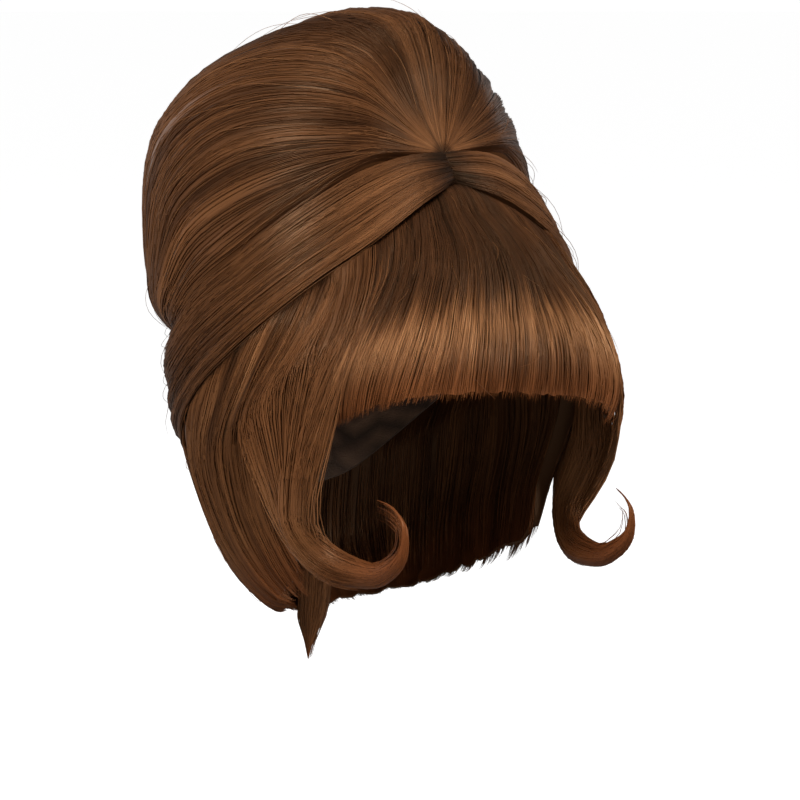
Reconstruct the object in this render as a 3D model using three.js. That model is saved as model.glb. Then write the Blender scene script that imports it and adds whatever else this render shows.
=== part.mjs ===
// A tall back-combed wig: a beehive crown, two swept-over side sections, a full fringe, side and back
// hair, a curled lock at each cheek and a tail at the nape, all carried by a thin cap.
// Millimetres, +Z up, the wearer faces -Y. The origin is the top of the hollow, where a head carries the cap.
import * as THREE from "three";

// The head that the cap fits
const HEAD_WIDTH = 152;
const HEAD_LENGTH = 194;
const HEAD_DROP = 215; // top of the head down to the neck below the hair
const CAP_WALL = 1.6;
const CAP_DROP = 166; // top of the head down to the cap's nape edge

// The dressed hair, outside
const BEEHIVE_RISE = 75; // top of the hair above the head
const SKIRT_DROP = 228; // lowest edge of the back hair below the head's top
const HALF_WIDTH = 100; // from the middle to the fullest side
const FRINGE_REACH = 110; // fringe ahead of the origin
const CROWN_REACH = 141; // crown behind the origin

// Walls and clearances
const SEAM = 0.6; // between one section of hair and the next
const CAP_CLEARANCE = 1.1; // between the cap and the facets of the hair on it
const LEAST_HAIR = 5; // thinnest that a section of hair may be
const FRINGE_TIP = 6;
const SIDE_TIP = 7;
const HANG_DEPTH = 13; // side, back and fringe hair below the cap
const LOCK_RELIEF = 2.4; // how far a lock stands out from the groove beside it
const CROWN_TUCK = 9; // how far the crown rolls in where it ends
const FRINGE_TUCK = 5; // the fringe at its lower edge
const HANG_TUCK = 3; // side and back hair at theirs
const ROOT_TUCK = 2; // hanging hair where it comes out from under a swept section
const SWEEP_PROUD = 3.5; // swept sections above the hair below them
const CREASE_DEPTH = 4; // groove between the crown and a swept section

// The cheek curls and the nape tail
const CURL_RADIUS = 20; // middle of the loop to the middle of the lock
const CURL_WIDTH = 22; // width of the lock where the loop starts
const CURL_DEPTH = 9; // and its thickness there
const CURL_TIP_RIGHT = 1; // how much of the lock's length each side keeps
const CURL_TIP_LEFT = 0.94;
const TAIL_WIDTH = 40;
const TAIL_DEPTH = 6;
const TAIL_LENGTH = 64;
const TAIL_LEAN = 6; // how far its point stands behind its root

const AXIS_Y = 0.085 * CROWN_REACH; // every surface is seen from one point inside, the heart
const HEART = new THREE.Vector3(0, AXIS_Y, -0.263 * SKIRT_DROP);

const table = (names, rows) =>
  rows.map((row) => Object.fromEntries(names.split(" ").map((name, i) => [name, row[i]])));

// Level sections, highest first. level is a share of BEEHIVE_RISE above the origin and of the drop below
// it; front, back, half and widest are shares of the front reach, back reach, half width and back reach,
// and square is the section's exponent, 2 for an ellipse.
const SECTION_COLUMNS = "level front back half widest square";
const CROWN_SECTIONS = table(SECTION_COLUMNS, [
  [0.96, 0.12, 0.24, 0.22, 0.1, 2],
  [0.8, 0.25, 0.5, 0.44, 0.18, 2],
  [0.56, 0.35, 0.77, 0.67, 0.255, 2],
  [0.267, 0.45, 0.91, 0.825, 0.3, 2.05],
  [-0.022, 0.54, 0.97, 0.895, 0.3, 2.05],
  [-0.154, 0.645, 0.955, 0.925, 0.255, 2.1],
  [-0.285, 0.72, 0.9, 0.935, 0.21, 2.1],
  [-0.43, 0.72, 0.8, 0.9, 0.14, 2.1],
]);
const SKIRT_SECTIONS = table(SECTION_COLUMNS, [
  [0.533, 0.2, 0.62, 0.48, 0.24, 2],
  [0.2, 0.38, 0.77, 0.69, 0.255, 2],
  [-0.044, 0.56, 0.83, 0.81, 0.21, 2],
  [-0.175, 0.78, 0.8, 0.89, 0.12, 2.05],
  [-0.307, 0.945, 0.705, 0.955, 0.03, 2.35],
  [-0.439, 1.01, 0.645, 0.97, -0.035, 2.65],
  [-0.57, 0.985, 0.645, 0.925, -0.07, 2.65],
  [-0.702, 0.89, 0.66, 0.83, -0.07, 2.5],
  [-0.833, 0.82, 0.64, 0.705, -0.07, 2.3],
  [-0.912, 0.73, 0.59, 0.59, -0.07, 2.2],
  [-1, 0.62, 0.48, 0.42, -0.07, 2.1],
]);
const HEAD_SECTIONS = table(SECTION_COLUMNS, [
  [-0.014, 0.27, 0.35, 0.315, 0.02, 2],
  [-0.056, 0.515, 0.62, 0.58, 0.03, 2],
  [-0.14, 0.785, 0.845, 0.815, 0.04, 2.05],
  [-0.256, 0.94, 0.97, 0.95, 0.04, 2.1],
  [-0.395, 0.99, 1.01, 1, 0.04, 2.2],
  [-0.535, 0.98, 0.97, 0.985, 0, 2.2],
  [-0.674, 0.95, 0.845, 0.895, -0.02, 2.2],
  [-0.814, 0.907, 0.68, 0.76, -0.04, 2.1],
  [-1, 0.825, 0.6, 0.66, -0.05, 2],
]);

// Lower edge of the cap, round the right side: degrees from the front, and share of CAP_DROP.
const CAP_RIM = table("degrees level", [
  [0, 0.3],
  [35, 0.325],
  [58, 0.43],
  [74, 0.59],
  [92, 0.56],
  [118, 0.76],
  [150, 0.95],
  [180, 1],
]);

// Strands of hair run through stations, each the degrees round the right side from the front and a level
// as in the sections. The crease is the upper edge of a swept section, from the parting to the back.
const CREASE = [
  [0, 0.14],
  [11, 0.14],
  [24, 0.12],
  [44, 0.025],
  [62, -0.057],
  [80, -0.15],
  [98, -0.237],
  [111, -0.315],
  [130, -0.368],
  [152, -0.404],
  [180, -0.425],
];
const SWEEP_EDGE = [
  [0, -0.005],
  [19, -0.048],
  [37, -0.118],
  [53, -0.193],
  [72, -0.307],
  [88, -0.395],
  [103, -0.482],
  [124, -0.579],
  [150, -0.645],
  [180, -0.675],
];
const SWEEP_STEPS = 22; // equal steps along the crease and the swept sections
const CROWN_STEPS = 14; // those of them that the crown's lower edge follows, one step in from the parting

// Crown strands from beside the parting, the first station, up and over. along is where a strand ends on the crease, as a
// share of the crease's length.
const CROWN_STRANDS = [
  { along: 0.74, stations: [[7, 0.16], [31, 0.21], [62, 0.175], [90, -0.005], [108, -0.1], [117, -0.22]] },
  { along: 0.8, stations: [[5.6, 0.168], [34, 0.39], [70, 0.43], [101, 0.28], [119, -0.05], [127, -0.22]] },
  { along: 0.87, stations: [[4.2, 0.172], [27, 0.54], [66, 0.73], [118, 0.62], [138, 0], [142, -0.22]] },
  { along: 0.94, stations: [[2.4, 0.175], [10, 0.56], [22, 0.84], [110, 0.95], [157, 0.66], [161, 0], [161, -0.22]] },
  { along: 1, stations: [[0, 0.176], [0, 0.7], [0, 0.93], [180, 0.9], [180, 0.6], [180, 0], [180, -0.22]] },
];

// Hair that hangs from the swept sections' lower edge, front to back. along is where a strand leaves that
// edge, as a share of its length; tipLeft is the tip's level on the left side where it differs.
const HANGING_STRANDS = [
  { along: 0, stations: [[0, -0.132], [0, -0.246], [0, -0.342], [0, -0.43]], tipLeft: -0.436 },
  { along: 0.05, stations: [[11, -0.123], [13, -0.237], [14, -0.333], [14, -0.418]], tipLeft: -0.45 },
  { along: 0.1, stations: [[21, -0.132], [25, -0.237], [27, -0.333], [28, -0.421]], tipLeft: -0.49 },
  { along: 0.155, stations: [[30, -0.158], [35, -0.263], [37, -0.351], [37, -0.443]], tipLeft: -0.525 },
  { along: 0.21, stations: [[37, -0.193], [41, -0.298], [43, -0.386], [43, -0.469]], tipLeft: -0.545 },
  { along: 0.31, stations: [[53, -0.29], [58, -0.386], [61.5, -0.491], [64.5, -0.592], [65, -0.702], [57, -0.842]] },
  { along: 0.41, stations: [[68, -0.386], [73, -0.491], [75, -0.6], [74, -0.71], [66, -0.864]] },
  { along: 0.51, stations: [[84, -0.47], [89, -0.575], [91, -0.68], [90, -0.78], [81, -0.89]] },
  { along: 0.61, stations: [[100, -0.54], [104, -0.64], [106, -0.73], [105, -0.815], [97, -0.917]] },
  { along: 0.71, stations: [[117, -0.62], [120, -0.71], [121, -0.785], [120, -0.855], [114, -0.945]] },
  { along: 0.81, stations: [[137, -0.69], [139, -0.765], [140, -0.83], [139, -0.89], [135, -0.97]] },
  { along: 0.91, stations: [[158, -0.735], [159, -0.805], [160, -0.865], [160, -0.925], [157, -0.99]] },
  { along: 1, stations: [[180, -0.755], [180, -0.825], [180, -0.885], [180, -0.94], [180, -1]] },
];
const FRINGE_END = 4; // rows of HANGING_STRANDS where one section of hair gives way to the next
const SIDE_START = 5;
const BACK_START = 9;

// The cheek lock below the fringe, middle line. turn is degrees round the loop from straight behind its
// middle, under it and forward; radius is a share of CURL_RADIUS, out of HALF_WIDTH, width of CURL_WIDTH
// and depth of CURL_DEPTH.
const CURL_MIDDLE_RIGHT = { ahead: 0.782, level: -0.684 };
const CURL_MIDDLE_LEFT = { ahead: 0.735, level: -0.728 };
const CURL_LOOP = table("turn radius out width depth", [
  [-49, 2.3, 0.88, 1.04, 1.1],
  [-22, 2, 0.86, 1, 1],
  [-1, 2.05, 0.825, 0.93, 0.97],
  [18, 1.85, 0.77, 0.82, 0.92],
  [36, 1.48, 0.725, 0.7, 0.85],
  [64, 1.02, 0.7, 0.54, 0.72],
  [100, 0.84, 0.69, 0.42, 0.62],
  [148, 0.88, 0.69, 0.36, 0.55],
  [174, 1.03, 0.69, 0.3, 0.48],
  [199, 1.13, 0.69, 0.24, 0.4],
  [217, 1.07, 0.69, 0.18, 0.32],
  [238, 0.98, 0.69, 0.11, 0.22],
  [266, 0.89, 0.695, 0.05, 0.12],
]);

const clamp = THREE.MathUtils.clamp;
const smooth = THREE.MathUtils.smoothstep;

// Value through a table at x by cubic pieces, the knots in rising order.
function through(knots, values, x) {
  const last = knots.length - 1;
  const at = clamp(x, knots[0], knots[last]);
  let i = 0;
  while (i < last - 1 && at > knots[i + 1]) i += 1;
  const slope = (k) => {
    const a = Math.max(k - 1, 0);
    const b = Math.min(k + 1, last);
    return (values[b] - values[a]) / (knots[b] - knots[a]);
  };
  const step = knots[i + 1] - knots[i];
  const t = (at - knots[i]) / step;
  return (
    (2 * t ** 3 - 3 * t ** 2 + 1) * values[i] +
    (t ** 3 - 2 * t ** 2 + t) * step * slope(i) +
    (3 * t ** 2 - 2 * t ** 3) * values[i + 1] +
    (t ** 3 - t ** 2) * step * slope(i + 1)
  );
}

// A closed-topped surface through level sections. It is asked how far out it lies in a direction from
// the heart, and where it passes at given degrees and level.
class SectionSurface {
  constructor(sections, size) {
    this.size = size;
    this.knots = [0];
    this.columns = { front: [], back: [], half: [], widest: [], square: [] };
    const top = sections[0];
    this.put({ front: 0, back: 0, half: 0, widest: top.widest, square: top.square }, true);
    for (const row of sections) {
      this.knots.push(Math.sqrt(size.top - this.height(row.level)));
      this.put(row, false);
    }
  }

  put(row, isTop) {
    const { front, back, half } = this.size;
    const middle = row.widest * back;
    this.columns.front.push(isTop ? middle : -row.front * front);
    this.columns.back.push(isTop ? middle : row.back * back);
    this.columns.half.push(row.half * half);
    this.columns.widest.push(middle);
    this.columns.square.push(row.square);
  }

  height(level) {
    return level > 0 ? level * this.size.rise : level * this.size.drop;
  }

  holds(point) {
    if (point.z >= this.size.top) return false;
    const root = Math.sqrt(this.size.top - point.z);
    const at = (name) => through(this.knots, this.columns[name], root);
    const widest = at("widest");
    const reach = point.y < widest ? widest - at("front") : at("back") - widest;
    const square = at("square");
    const across = Math.abs(point.x / Math.max(at("half"), 0.01)) ** square;
    return across + Math.abs((point.y - widest) / Math.max(reach, 0.01)) ** square < 1;
  }

  // How far along a direction from a point inside the surface lies.
  distance(from, direction) {
    let near = 0;
    let far = 4 * HALF_WIDTH;
    for (let i = 0; i < 30; i += 1) {
      const middle = (near + far) / 2;
      if (this.holds(from.clone().addScaledVector(direction, middle))) near = middle;
      else far = middle;
    }
    return near;
  }

  // The direction from the heart of a station at degrees round the right side.
  station([degrees, level]) {
    const angle = THREE.MathUtils.degToRad(degrees);
    const from = new THREE.Vector3(0, AXIS_Y, this.height(level));
    const out = new THREE.Vector3(-Math.sin(angle), -Math.cos(angle), 0);
    return from.addScaledVector(out, this.distance(from, out)).sub(HEART).normalize();
  }
}

const hairSize = { rise: BEEHIVE_RISE, drop: SKIRT_DROP, front: FRINGE_REACH, back: CROWN_REACH, half: HALF_WIDTH };
const headSize = { rise: 0, drop: HEAD_DROP, front: HEAD_LENGTH / 2, back: HEAD_LENGTH / 2, half: HEAD_WIDTH / 2 };
const crownSurface = new SectionSurface(CROWN_SECTIONS, { ...hairSize, top: BEEHIVE_RISE });
const skirtSurface = new SectionSurface(SKIRT_SECTIONS, { ...hairSize, top: BEEHIVE_RISE });
const headSurface = new SectionSurface(HEAD_SECTIONS, { ...headSize, top: 0 });

const headRadius = (direction) => headSurface.distance(HEART, direction);
const onCap = (direction) => headRadius(direction) + CAP_WALL + CAP_CLEARANCE;

const mirror = (direction) => new THREE.Vector3(-direction.x, direction.y, direction.z);

function catmull(a, b, c, d, t) {
  const point = new THREE.Vector3();
  for (const axis of ["x", "y", "z"]) {
    const [p, q, r, s] = [a[axis], b[axis], c[axis], d[axis]];
    point[axis] =
      q + 0.5 * t * (r - p + t * (2 * p - 5 * q + 4 * r - s + t * (3 * (q - r) + s - p)));
  }
  return point;
}

// A smooth run through points or directions, asked at 0 to 1 with equal steps from point to point.
function run(points, t) {
  const last = points.length - 1;
  const x = clamp(t, 0, 1) * last;
  const i = Math.min(Math.floor(x), last - 1);
  const ends = [points[Math.max(i - 1, 0)], points[i], points[i + 1], points[Math.min(i + 2, last)]];
  return catmull(...ends, x - i);
}

// The same run asked by its length, so that 0.5 is halfway along.
function evenRun(directions) {
  const count = 60;
  const samples = Array.from({ length: count + 1 }, (_, i) => run(directions, i / count).normalize());
  const lengths = [0];
  for (let i = 1; i <= count; i += 1) lengths.push(lengths[i - 1] + samples[i].distanceTo(samples[i - 1]));
  return (t) => {
    const wanted = clamp(t, 0, 1) * lengths[count];
    let i = 1;
    while (i < count && lengths[i] < wanted) i += 1;
    const share = (wanted - lengths[i - 1]) / (lengths[i] - lengths[i - 1]);
    return samples[i - 1].clone().lerp(samples[i], share).normalize();
  };
}

const strand = (surface, stations) => evenRun(stations.map((station) => surface.station(station)));
const crease = strand(skirtSurface, CREASE);
const sweepEdge = strand(skirtSurface, SWEEP_EDGE);

// One direction from a fan of strands: u across them from the first to the last, v along them.
function fan(strands) {
  return (u, v) => run(strands.map((each) => each(v)), u).normalize();
}

// Rounded locks of uneven width side by side across a section, four steps to a lock. Each step has its
// place u from 0 to 1 and its height from 0 in a groove to 1 on a lock.
function lockSteps(count) {
  const edge = (k) => (k <= 0 ? 0 : k >= count ? 1 : (k + 0.24 * Math.sin(2.4 * k)) / count);
  const steps = [];
  for (let k = 0; k < count; k += 1) {
    for (const [t, height] of [[0, 0], [0.2, 0.75], [0.5, 1], [0.8, 0.75]]) {
      steps.push({ u: THREE.MathUtils.lerp(edge(k), edge(k + 1), t), height });
    }
  }
  return [...steps, { u: 1, height: 0 }];
}

// How far a rolled edge drops, from 1 at the edge to 0 at a share inside it.
const roll = (inside, share) => (1 - clamp(inside / share, 0, 1)) ** 2;

// Triangles between neighbouring closed rings of points, with both ends closed.
function loftRings(rings) {
  const width = rings[0].length;
  const points = rings.flat();
  const faces = [];
  for (let i = 0; i + 1 < rings.length; i += 1) {
    for (let j = 0; j < width; j += 1) {
      const a = i * width + j;
      const b = i * width + ((j + 1) % width);
      faces.push(a, b, b + width, a, b + width, a + width);
    }
  }
  for (const [first, flip] of [[0, true], [(rings.length - 1) * width, false]]) {
    for (let j = 0, k = width - 1; j + 1 < k; ) {
      const corner = [j, j + 1, k];
      faces.push(...(flip ? corner.toReversed() : corner).map((n) => first + n));
      if (j + 2 < k) {
        const next = [j + 1, k - 1, k];
        faces.push(...(flip ? next.toReversed() : next).map((n) => first + n));
      }
      j += 1;
      k -= 1;
    }
  }
  return solid(points, faces);
}

// An indexed geometry whose faces point out.
function solid(points, faces) {
  let volume = 0;
  for (let i = 0; i < faces.length; i += 3) {
    const [a, b, c] = [points[faces[i]], points[faces[i + 1]], points[faces[i + 2]]];
    volume += a.dot(b.clone().cross(c));
  }
  if (volume < 0) faces.reverse();
  const geometry = new THREE.BufferGeometry().setFromPoints(points);
  geometry.setIndex(faces);
  geometry.computeVertexNormals();
  return geometry;
}

// A section of hair: rings that run across its outside and back along its inside, root to tip. u goes
// from 0 to 1 across the section and v from 0 to 1 along the hair.
function hairSection({ direction, outside, inside, lockCount, along }) {
  const rings = [];
  for (let i = 0; i <= along; i += 1) {
    const v = i / along;
    const outer = [];
    const inner = [];
    for (const { u, height } of lockSteps(lockCount)) {
      const way = direction(u, v);
      const out = Math.max(outside(way, u, v, height), onCap(way) + LEAST_HAIR);
      outer.push(HEART.clone().addScaledVector(way, out));
      inner.push(HEART.clone().addScaledVector(way, inside(way, v, out)));
    }
    rings.push([...outer, ...inner.toReversed()]);
  }
  return loftRings(rings);
}

// The inside of hair that lies on the cap, and of hair that hangs below it.
const filled = (way) => onCap(way);
const hanging = (tip) => (way, v, out) =>
  Math.max(onCap(way), out - THREE.MathUtils.lerp(3 * HANG_DEPTH, tip, smooth(v, 0, 0.75)));

// Pulls a share of a section's width or length in from 0 and 1, so that neighbours keep their seam.
const inset = (t, share) => share + t * (1 - 2 * share);

function crownHair() {
  const right = [
    (v) => crease((1 + CROWN_STEPS * v) / SWEEP_STEPS),
    ...CROWN_STRANDS.map(({ along, stations: [root, ...rest] }) => {
      const ways = rest.map((station) => crownSurface.station(station));
      return evenRun([skirtSurface.station(root), ...ways, crease(along)]);
    }),
  ];
  const left = right.slice(0, -1).map((each) => (v) => mirror(each(v)));
  const spread = fan([...right, ...left.toReversed()]);
  const seam = SEAM / (4 * HALF_WIDTH);
  return hairSection({
    direction: (u, v) => spread(inset(u, seam), v * (1 - seam)),
    outside: (way, u, v, height) => {
      const groove = CREASE_DEPTH * roll(Math.min(u, 1 - u), 0.06) + CROWN_TUCK * roll(1 - v, 0.2);
      const relief = LOCK_RELIEF * (height * smooth(v, 0.02, 0.25) - 1);
      const root = skirtSurface.distance(HEART, way);
      const full = crownSurface.distance(HEART, way);
      return THREE.MathUtils.lerp(Math.min(root, full), full, smooth(v, 0, 0.16)) - groove + relief;
    },
    inside: filled,
    lockCount: 11,
    along: CROWN_STEPS,
  });
}

function sweptHair(onSide) {
  const seam = SEAM / (0.4 * HALF_WIDTH);
  const midline = SEAM / (4 * HALF_WIDTH);
  return hairSection({
    direction: (u, v) => {
      const at = inset(v, midline);
      return onSide(crease(at).lerp(sweepEdge(at), inset(u, seam / 2)).normalize());
    },
    outside: (way, u, v, height) => {
      const groove = roll(u, 0.3) * smooth(v, 0, 0.1) + roll(1 - u, 0.18) / 2 + roll(1 - v, 0.06);
      const relief = LOCK_RELIEF * (height * smooth(v, 0.02, 0.2) - 1);
      const proud = SWEEP_PROUD * smooth(v, 0, 0.1);
      return skirtSurface.distance(HEART, way) + proud - CREASE_DEPTH * groove + relief;
    },
    inside: filled,
    lockCount: 3,
    along: SWEEP_STEPS,
  });
}

// The hanging strand in a row of the table, its root a seam below the swept section's edge.
function hangingStrand({ along, stations, tipLeft }, isLeft = false) {
  const ways = stations.map((station) => skirtSurface.station(station));
  if (isLeft && tipLeft !== undefined) {
    ways[ways.length - 1] = skirtSurface.station([stations.at(-1)[0], tipLeft]);
  }
  const root = sweepEdge(along);
  const apart = SEAM * (2 - 1.2 * smooth(along, 0, 0.15));
  root.lerp(ways[0], apart / (HALF_WIDTH * root.distanceTo(ways[0]))).normalize();
  const even = evenRun([root, ...ways]);
  return isLeft ? (v) => mirror(even(v)) : even;
}

const hangingFan = (from, to, isLeft) =>
  HANGING_STRANDS.slice(from, to + 1).map((row) => hangingStrand(row, isLeft));

// Hair that hangs between two strands of the table, its root and tip rolled in.
function hungHair({ strands, lockCount, along, relief, tip, tuck }) {
  const spread = fan(strands);
  const seam = (0.8 * SEAM) / HALF_WIDTH;
  return hairSection({
    direction: (u, v) => spread(inset(u, seam), v),
    outside: (way, u, v, height) => {
      const raised = relief * (height * smooth(v, 0.02, 0.3) - 1);
      return skirtSurface.distance(HEART, way) + raised - tuck * roll(1 - v, 0.3) - ROOT_TUCK * roll(v, 0.15);
    },
    inside: hanging(tip),
    lockCount,
    along,
  });
}

function fringeHair() {
  const right = hangingFan(0, FRINGE_END, false).toReversed();
  const strands = [...right, ...hangingFan(1, FRINGE_END, true)];
  return hungHair({ strands, lockCount: 10, along: 7, relief: 0.5 * LOCK_RELIEF, tip: FRINGE_TIP, tuck: FRINGE_TUCK });
}

function sideHair(isLeft) {
  const strands = hangingFan(SIDE_START, BACK_START, isLeft);
  return hungHair({ strands, lockCount: 5, along: 9, relief: LOCK_RELIEF, tip: SIDE_TIP, tuck: HANG_TUCK });
}

function backHair() {
  const right = hangingFan(BACK_START, HANGING_STRANDS.length - 1, false);
  const left = hangingFan(BACK_START, HANGING_STRANDS.length - 2, true);
  const strands = [...right, ...left.toReversed()];
  return hungHair({ strands, lockCount: 7, along: 7, relief: LOCK_RELIEF, tip: SIDE_TIP, tuck: HANG_TUCK });
}

// A ring of a lock: a flattened round of the given width and depth, with shallow grooves in its face.
function lockRing({ centre, wide, deep, width, depth }) {
  const sides = 10;
  const flat = (value) => Math.sign(value) * Math.abs(value) ** 0.8;
  return Array.from({ length: sides }, (_, k) => {
    const angle = (2 * Math.PI * k) / sides;
    const groove = k % 2 ? 0.93 : 1;
    return centre
      .clone()
      .addScaledVector(wide, (width / 2) * flat(Math.cos(angle)))
      .addScaledVector(deep, (depth / 2) * groove * flat(Math.sin(angle)));
  });
}

// The middle line of the cheek lock, root to tip, with the ways of its thickness and its width. It hangs between
// the fringe and the side hair first, then takes the loop's rows.
function lockLine(isLeft) {
  const middle = isLeft ? CURL_MIDDLE_LEFT : CURL_MIDDLE_RIGHT;
  const onRight = isLeft ? mirror : (way) => way;
  const front = (v) => onRight(hangingStrand(HANGING_STRANDS[FRINGE_END], isLeft)(v));
  const rear = hangingStrand(HANGING_STRANDS[SIDE_START]);
  const line = [0.02, 0.12, 0.25, 0.38].map((v) => {
    const [a, b] = [front(1.6 * v), rear(v)];
    const way = a.clone().add(b).normalize();
    const surface = skirtSurface.distance(HEART, way);
    const width = a.angleTo(b) * surface - 6 * SEAM;
    const sag = width ** 2 / (8 * surface) + SEAM;
    const depth = Math.min(HANG_DEPTH, surface - onCap(way) - sag);
    const centre = HEART.clone().addScaledVector(way, surface - depth / 2);
    return { centre, way, wide: b.clone().sub(a).normalize(), width, depth };
  });
  for (const row of CURL_LOOP) {
    const angle = THREE.MathUtils.degToRad(row.turn);
    const radius = row.radius * CURL_RADIUS;
    const centre = new THREE.Vector3(
      -row.out * HALF_WIDTH,
      -middle.ahead * FRINGE_REACH + radius * Math.cos(angle),
      middle.level * SKIRT_DROP - radius * Math.sin(angle),
    );
    const way = new THREE.Vector3(-1, 0, 0);
    line.push({ centre, way, width: row.width * CURL_WIDTH, depth: row.depth * CURL_DEPTH });
  }
  for (let i = line.length - CURL_LOOP.length; i < line.length; i += 1) {
    const next = line[Math.min(i + 1, line.length - 1)].centre;
    const heading = next.clone().sub(line[i - 1].centre);
    line[i].wide = heading.cross(line[i].way).normalize();
  }
  return line;
}

function cheekCurl(isLeft) {
  const line = lockLine(isLeft);
  const tip = isLeft ? CURL_TIP_LEFT : CURL_TIP_RIGHT;
  const count = 24;
  const last = line.length - 1;
  const places = line.map((_, i) => i / last);
  const centres = line.map((each) => each.centre);
  const ways = line.map((each) => each.way);
  const wides = line.map((each) => each.wide);
  const rings = [];
  for (let i = 0; i <= count; i += 1) {
    const t = (tip * i) / count;
    const centre = run(centres, t);
    const wide = run(wides, t).normalize();
    const deep = run(ways, t);
    deep.addScaledVector(wide, -deep.dot(wide)).normalize();
    const width = through(places, line.map((each) => each.width), t);
    const depth = through(places, line.map((each) => each.depth), t);
    const point = 1 - 0.7 * smooth(t, tip - 0.15, tip);
    rings.push(lockRing({ centre, wide, deep, width: width * point, depth: depth * point }));
  }
  if (isLeft) for (const point of rings.flat()) point.x = -point.x;
  return loftRings(rings);
}

// The tail at the nape: it starts against the inside of the back hair's lower edge and hangs to a point.
function napeTail() {
  const rings = [];
  const count = 8;
  const way = hangingStrand(HANGING_STRANDS.at(-1))(1);
  const out = skirtSurface.distance(HEART, way) - LOCK_RELIEF - HANG_TUCK;
  const edge = HEART.clone().addScaledVector(way, hanging(SIDE_TIP)(way, 1, out));
  const sag = TAIL_WIDTH ** 2 / (30 * edge.y);
  for (let i = 0; i <= count; i += 1) {
    const t = i / count;
    const depth = TAIL_DEPTH * (1 - 0.8 * t);
    const behind = edge.y - TAIL_DEPTH / 2 - sag - SEAM + TAIL_LEAN * smooth(t, 0.4, 1);
    rings.push(
      lockRing({
        centre: new THREE.Vector3(0, behind, edge.z - (t - 0.4) * TAIL_LENGTH),
        wide: new THREE.Vector3(1, 0, 0),
        deep: new THREE.Vector3(0, 1, 0),
        width: TAIL_WIDTH * (1 - 0.93 * t ** 1.6),
        depth,
      }),
    );
  }
  return loftRings(rings);
}

// The thin cap that carries all the hair, open below.
function wigCap() {
  const degrees = CAP_RIM.map((row) => row.degrees);
  const levels = CAP_RIM.map((row) => row.level);
  const around = 32;
  const down = 9;
  const rimWay = (turn) => {
    const right = turn <= 180 ? turn : 360 - turn;
    const level = (-through(degrees, levels, right) * CAP_DROP) / HEAD_DROP;
    const way = headSurface.station([right, level]);
    return turn <= 180 ? way : mirror(way);
  };
  const top = new THREE.Vector3(0, 0, 1);
  const points = [];
  const faces = [];
  for (const wall of [CAP_WALL, 0]) {
    points.push(HEART.clone().addScaledVector(top, headRadius(top) + wall));
    for (let i = 1; i <= down; i += 1) {
      for (let j = 0; j < around; j += 1) {
        const rim = rimWay((360 * j) / around);
        const axis = top.clone().cross(rim).normalize();
        const way = top.clone().applyAxisAngle(axis, (top.angleTo(rim) * i) / down);
        points.push(HEART.clone().addScaledVector(way, headRadius(way) + wall));
      }
    }
  }
  const size = 1 + down * around;
  const at = (layer, i, j) => (i === 0 ? layer * size : layer * size + 1 + (i - 1) * around + (j % around));
  for (const layer of [0, 1]) {
    for (let i = 0; i < down; i += 1) {
      for (let j = 0; j < around; j += 1) {
        const [a, b, c, d] = [at(layer, i, j), at(layer, i, j + 1), at(layer, i + 1, j + 1), at(layer, i + 1, j)];
        const pair = i === 0 ? [[a, c, d]] : [[a, b, c], [a, c, d]];
        for (const face of pair) faces.push(...(layer ? face.toReversed() : face));
      }
    }
  }
  for (let j = 0; j < around; j += 1) {
    const [a, b, c, d] = [at(0, down, j), at(0, down, j + 1), at(1, down, j + 1), at(1, down, j)];
    faces.push(a, b, c, a, c, d);
  }
  return solid(points, faces);
}

const hairFinish = new THREE.MeshStandardMaterial({ color: 0x6b4527, roughness: 0.42, metalness: 0 });
const deepHairFinish = new THREE.MeshStandardMaterial({ color: 0x5a3820, roughness: 0.45, metalness: 0 });
const capFinish = new THREE.MeshStandardMaterial({ color: 0x3a281c, roughness: 0.9, metalness: 0 });

const wig = new THREE.Group();
function addPiece(name, geometry, material) {
  const piece = new THREE.Mesh(geometry, material);
  piece.name = name;
  wig.add(piece);
}

const same = (way) => way;
addPiece("wig_cap", wigCap(), capFinish);
addPiece("crown_beehive", crownHair(), hairFinish);
addPiece("sweep_right", sweptHair(same), hairFinish);
addPiece("sweep_left", sweptHair(mirror), hairFinish);
addPiece("fringe", fringeHair(), hairFinish);
addPiece("side_hair_right", sideHair(false), hairFinish);
addPiece("side_hair_left", sideHair(true), hairFinish);
addPiece("back_hair", backHair(), hairFinish);
addPiece("cheek_curl_right", cheekCurl(false), deepHairFinish);
addPiece("cheek_curl_left", cheekCurl(true), deepHairFinish);
addPiece("nape_tail", napeTail(), deepHairFinish);

export default wig;
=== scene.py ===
import math
from dataclasses import dataclass

import bpy
import numpy as np
from mathutils import Matrix, Vector


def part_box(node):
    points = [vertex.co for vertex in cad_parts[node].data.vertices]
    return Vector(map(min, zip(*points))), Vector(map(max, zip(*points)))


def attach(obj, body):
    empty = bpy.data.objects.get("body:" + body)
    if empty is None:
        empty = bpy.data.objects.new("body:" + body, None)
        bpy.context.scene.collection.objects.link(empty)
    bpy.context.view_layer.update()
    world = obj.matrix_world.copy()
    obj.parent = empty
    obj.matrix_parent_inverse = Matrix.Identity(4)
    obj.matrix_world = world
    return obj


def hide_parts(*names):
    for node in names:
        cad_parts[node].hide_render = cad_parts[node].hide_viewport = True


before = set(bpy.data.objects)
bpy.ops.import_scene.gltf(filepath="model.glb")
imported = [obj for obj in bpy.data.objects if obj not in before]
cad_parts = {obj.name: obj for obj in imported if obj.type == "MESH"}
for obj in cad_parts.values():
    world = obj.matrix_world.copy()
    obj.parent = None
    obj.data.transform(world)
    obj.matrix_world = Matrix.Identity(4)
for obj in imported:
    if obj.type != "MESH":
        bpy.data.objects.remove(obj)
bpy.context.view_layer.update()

# The combed hair, strands and cap of a beehive wig, in metres, +Z up. The wearer faces -Y, and the
# wearer's right is -X.
MM = 0.001
ROUND = 2 * math.pi

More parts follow.
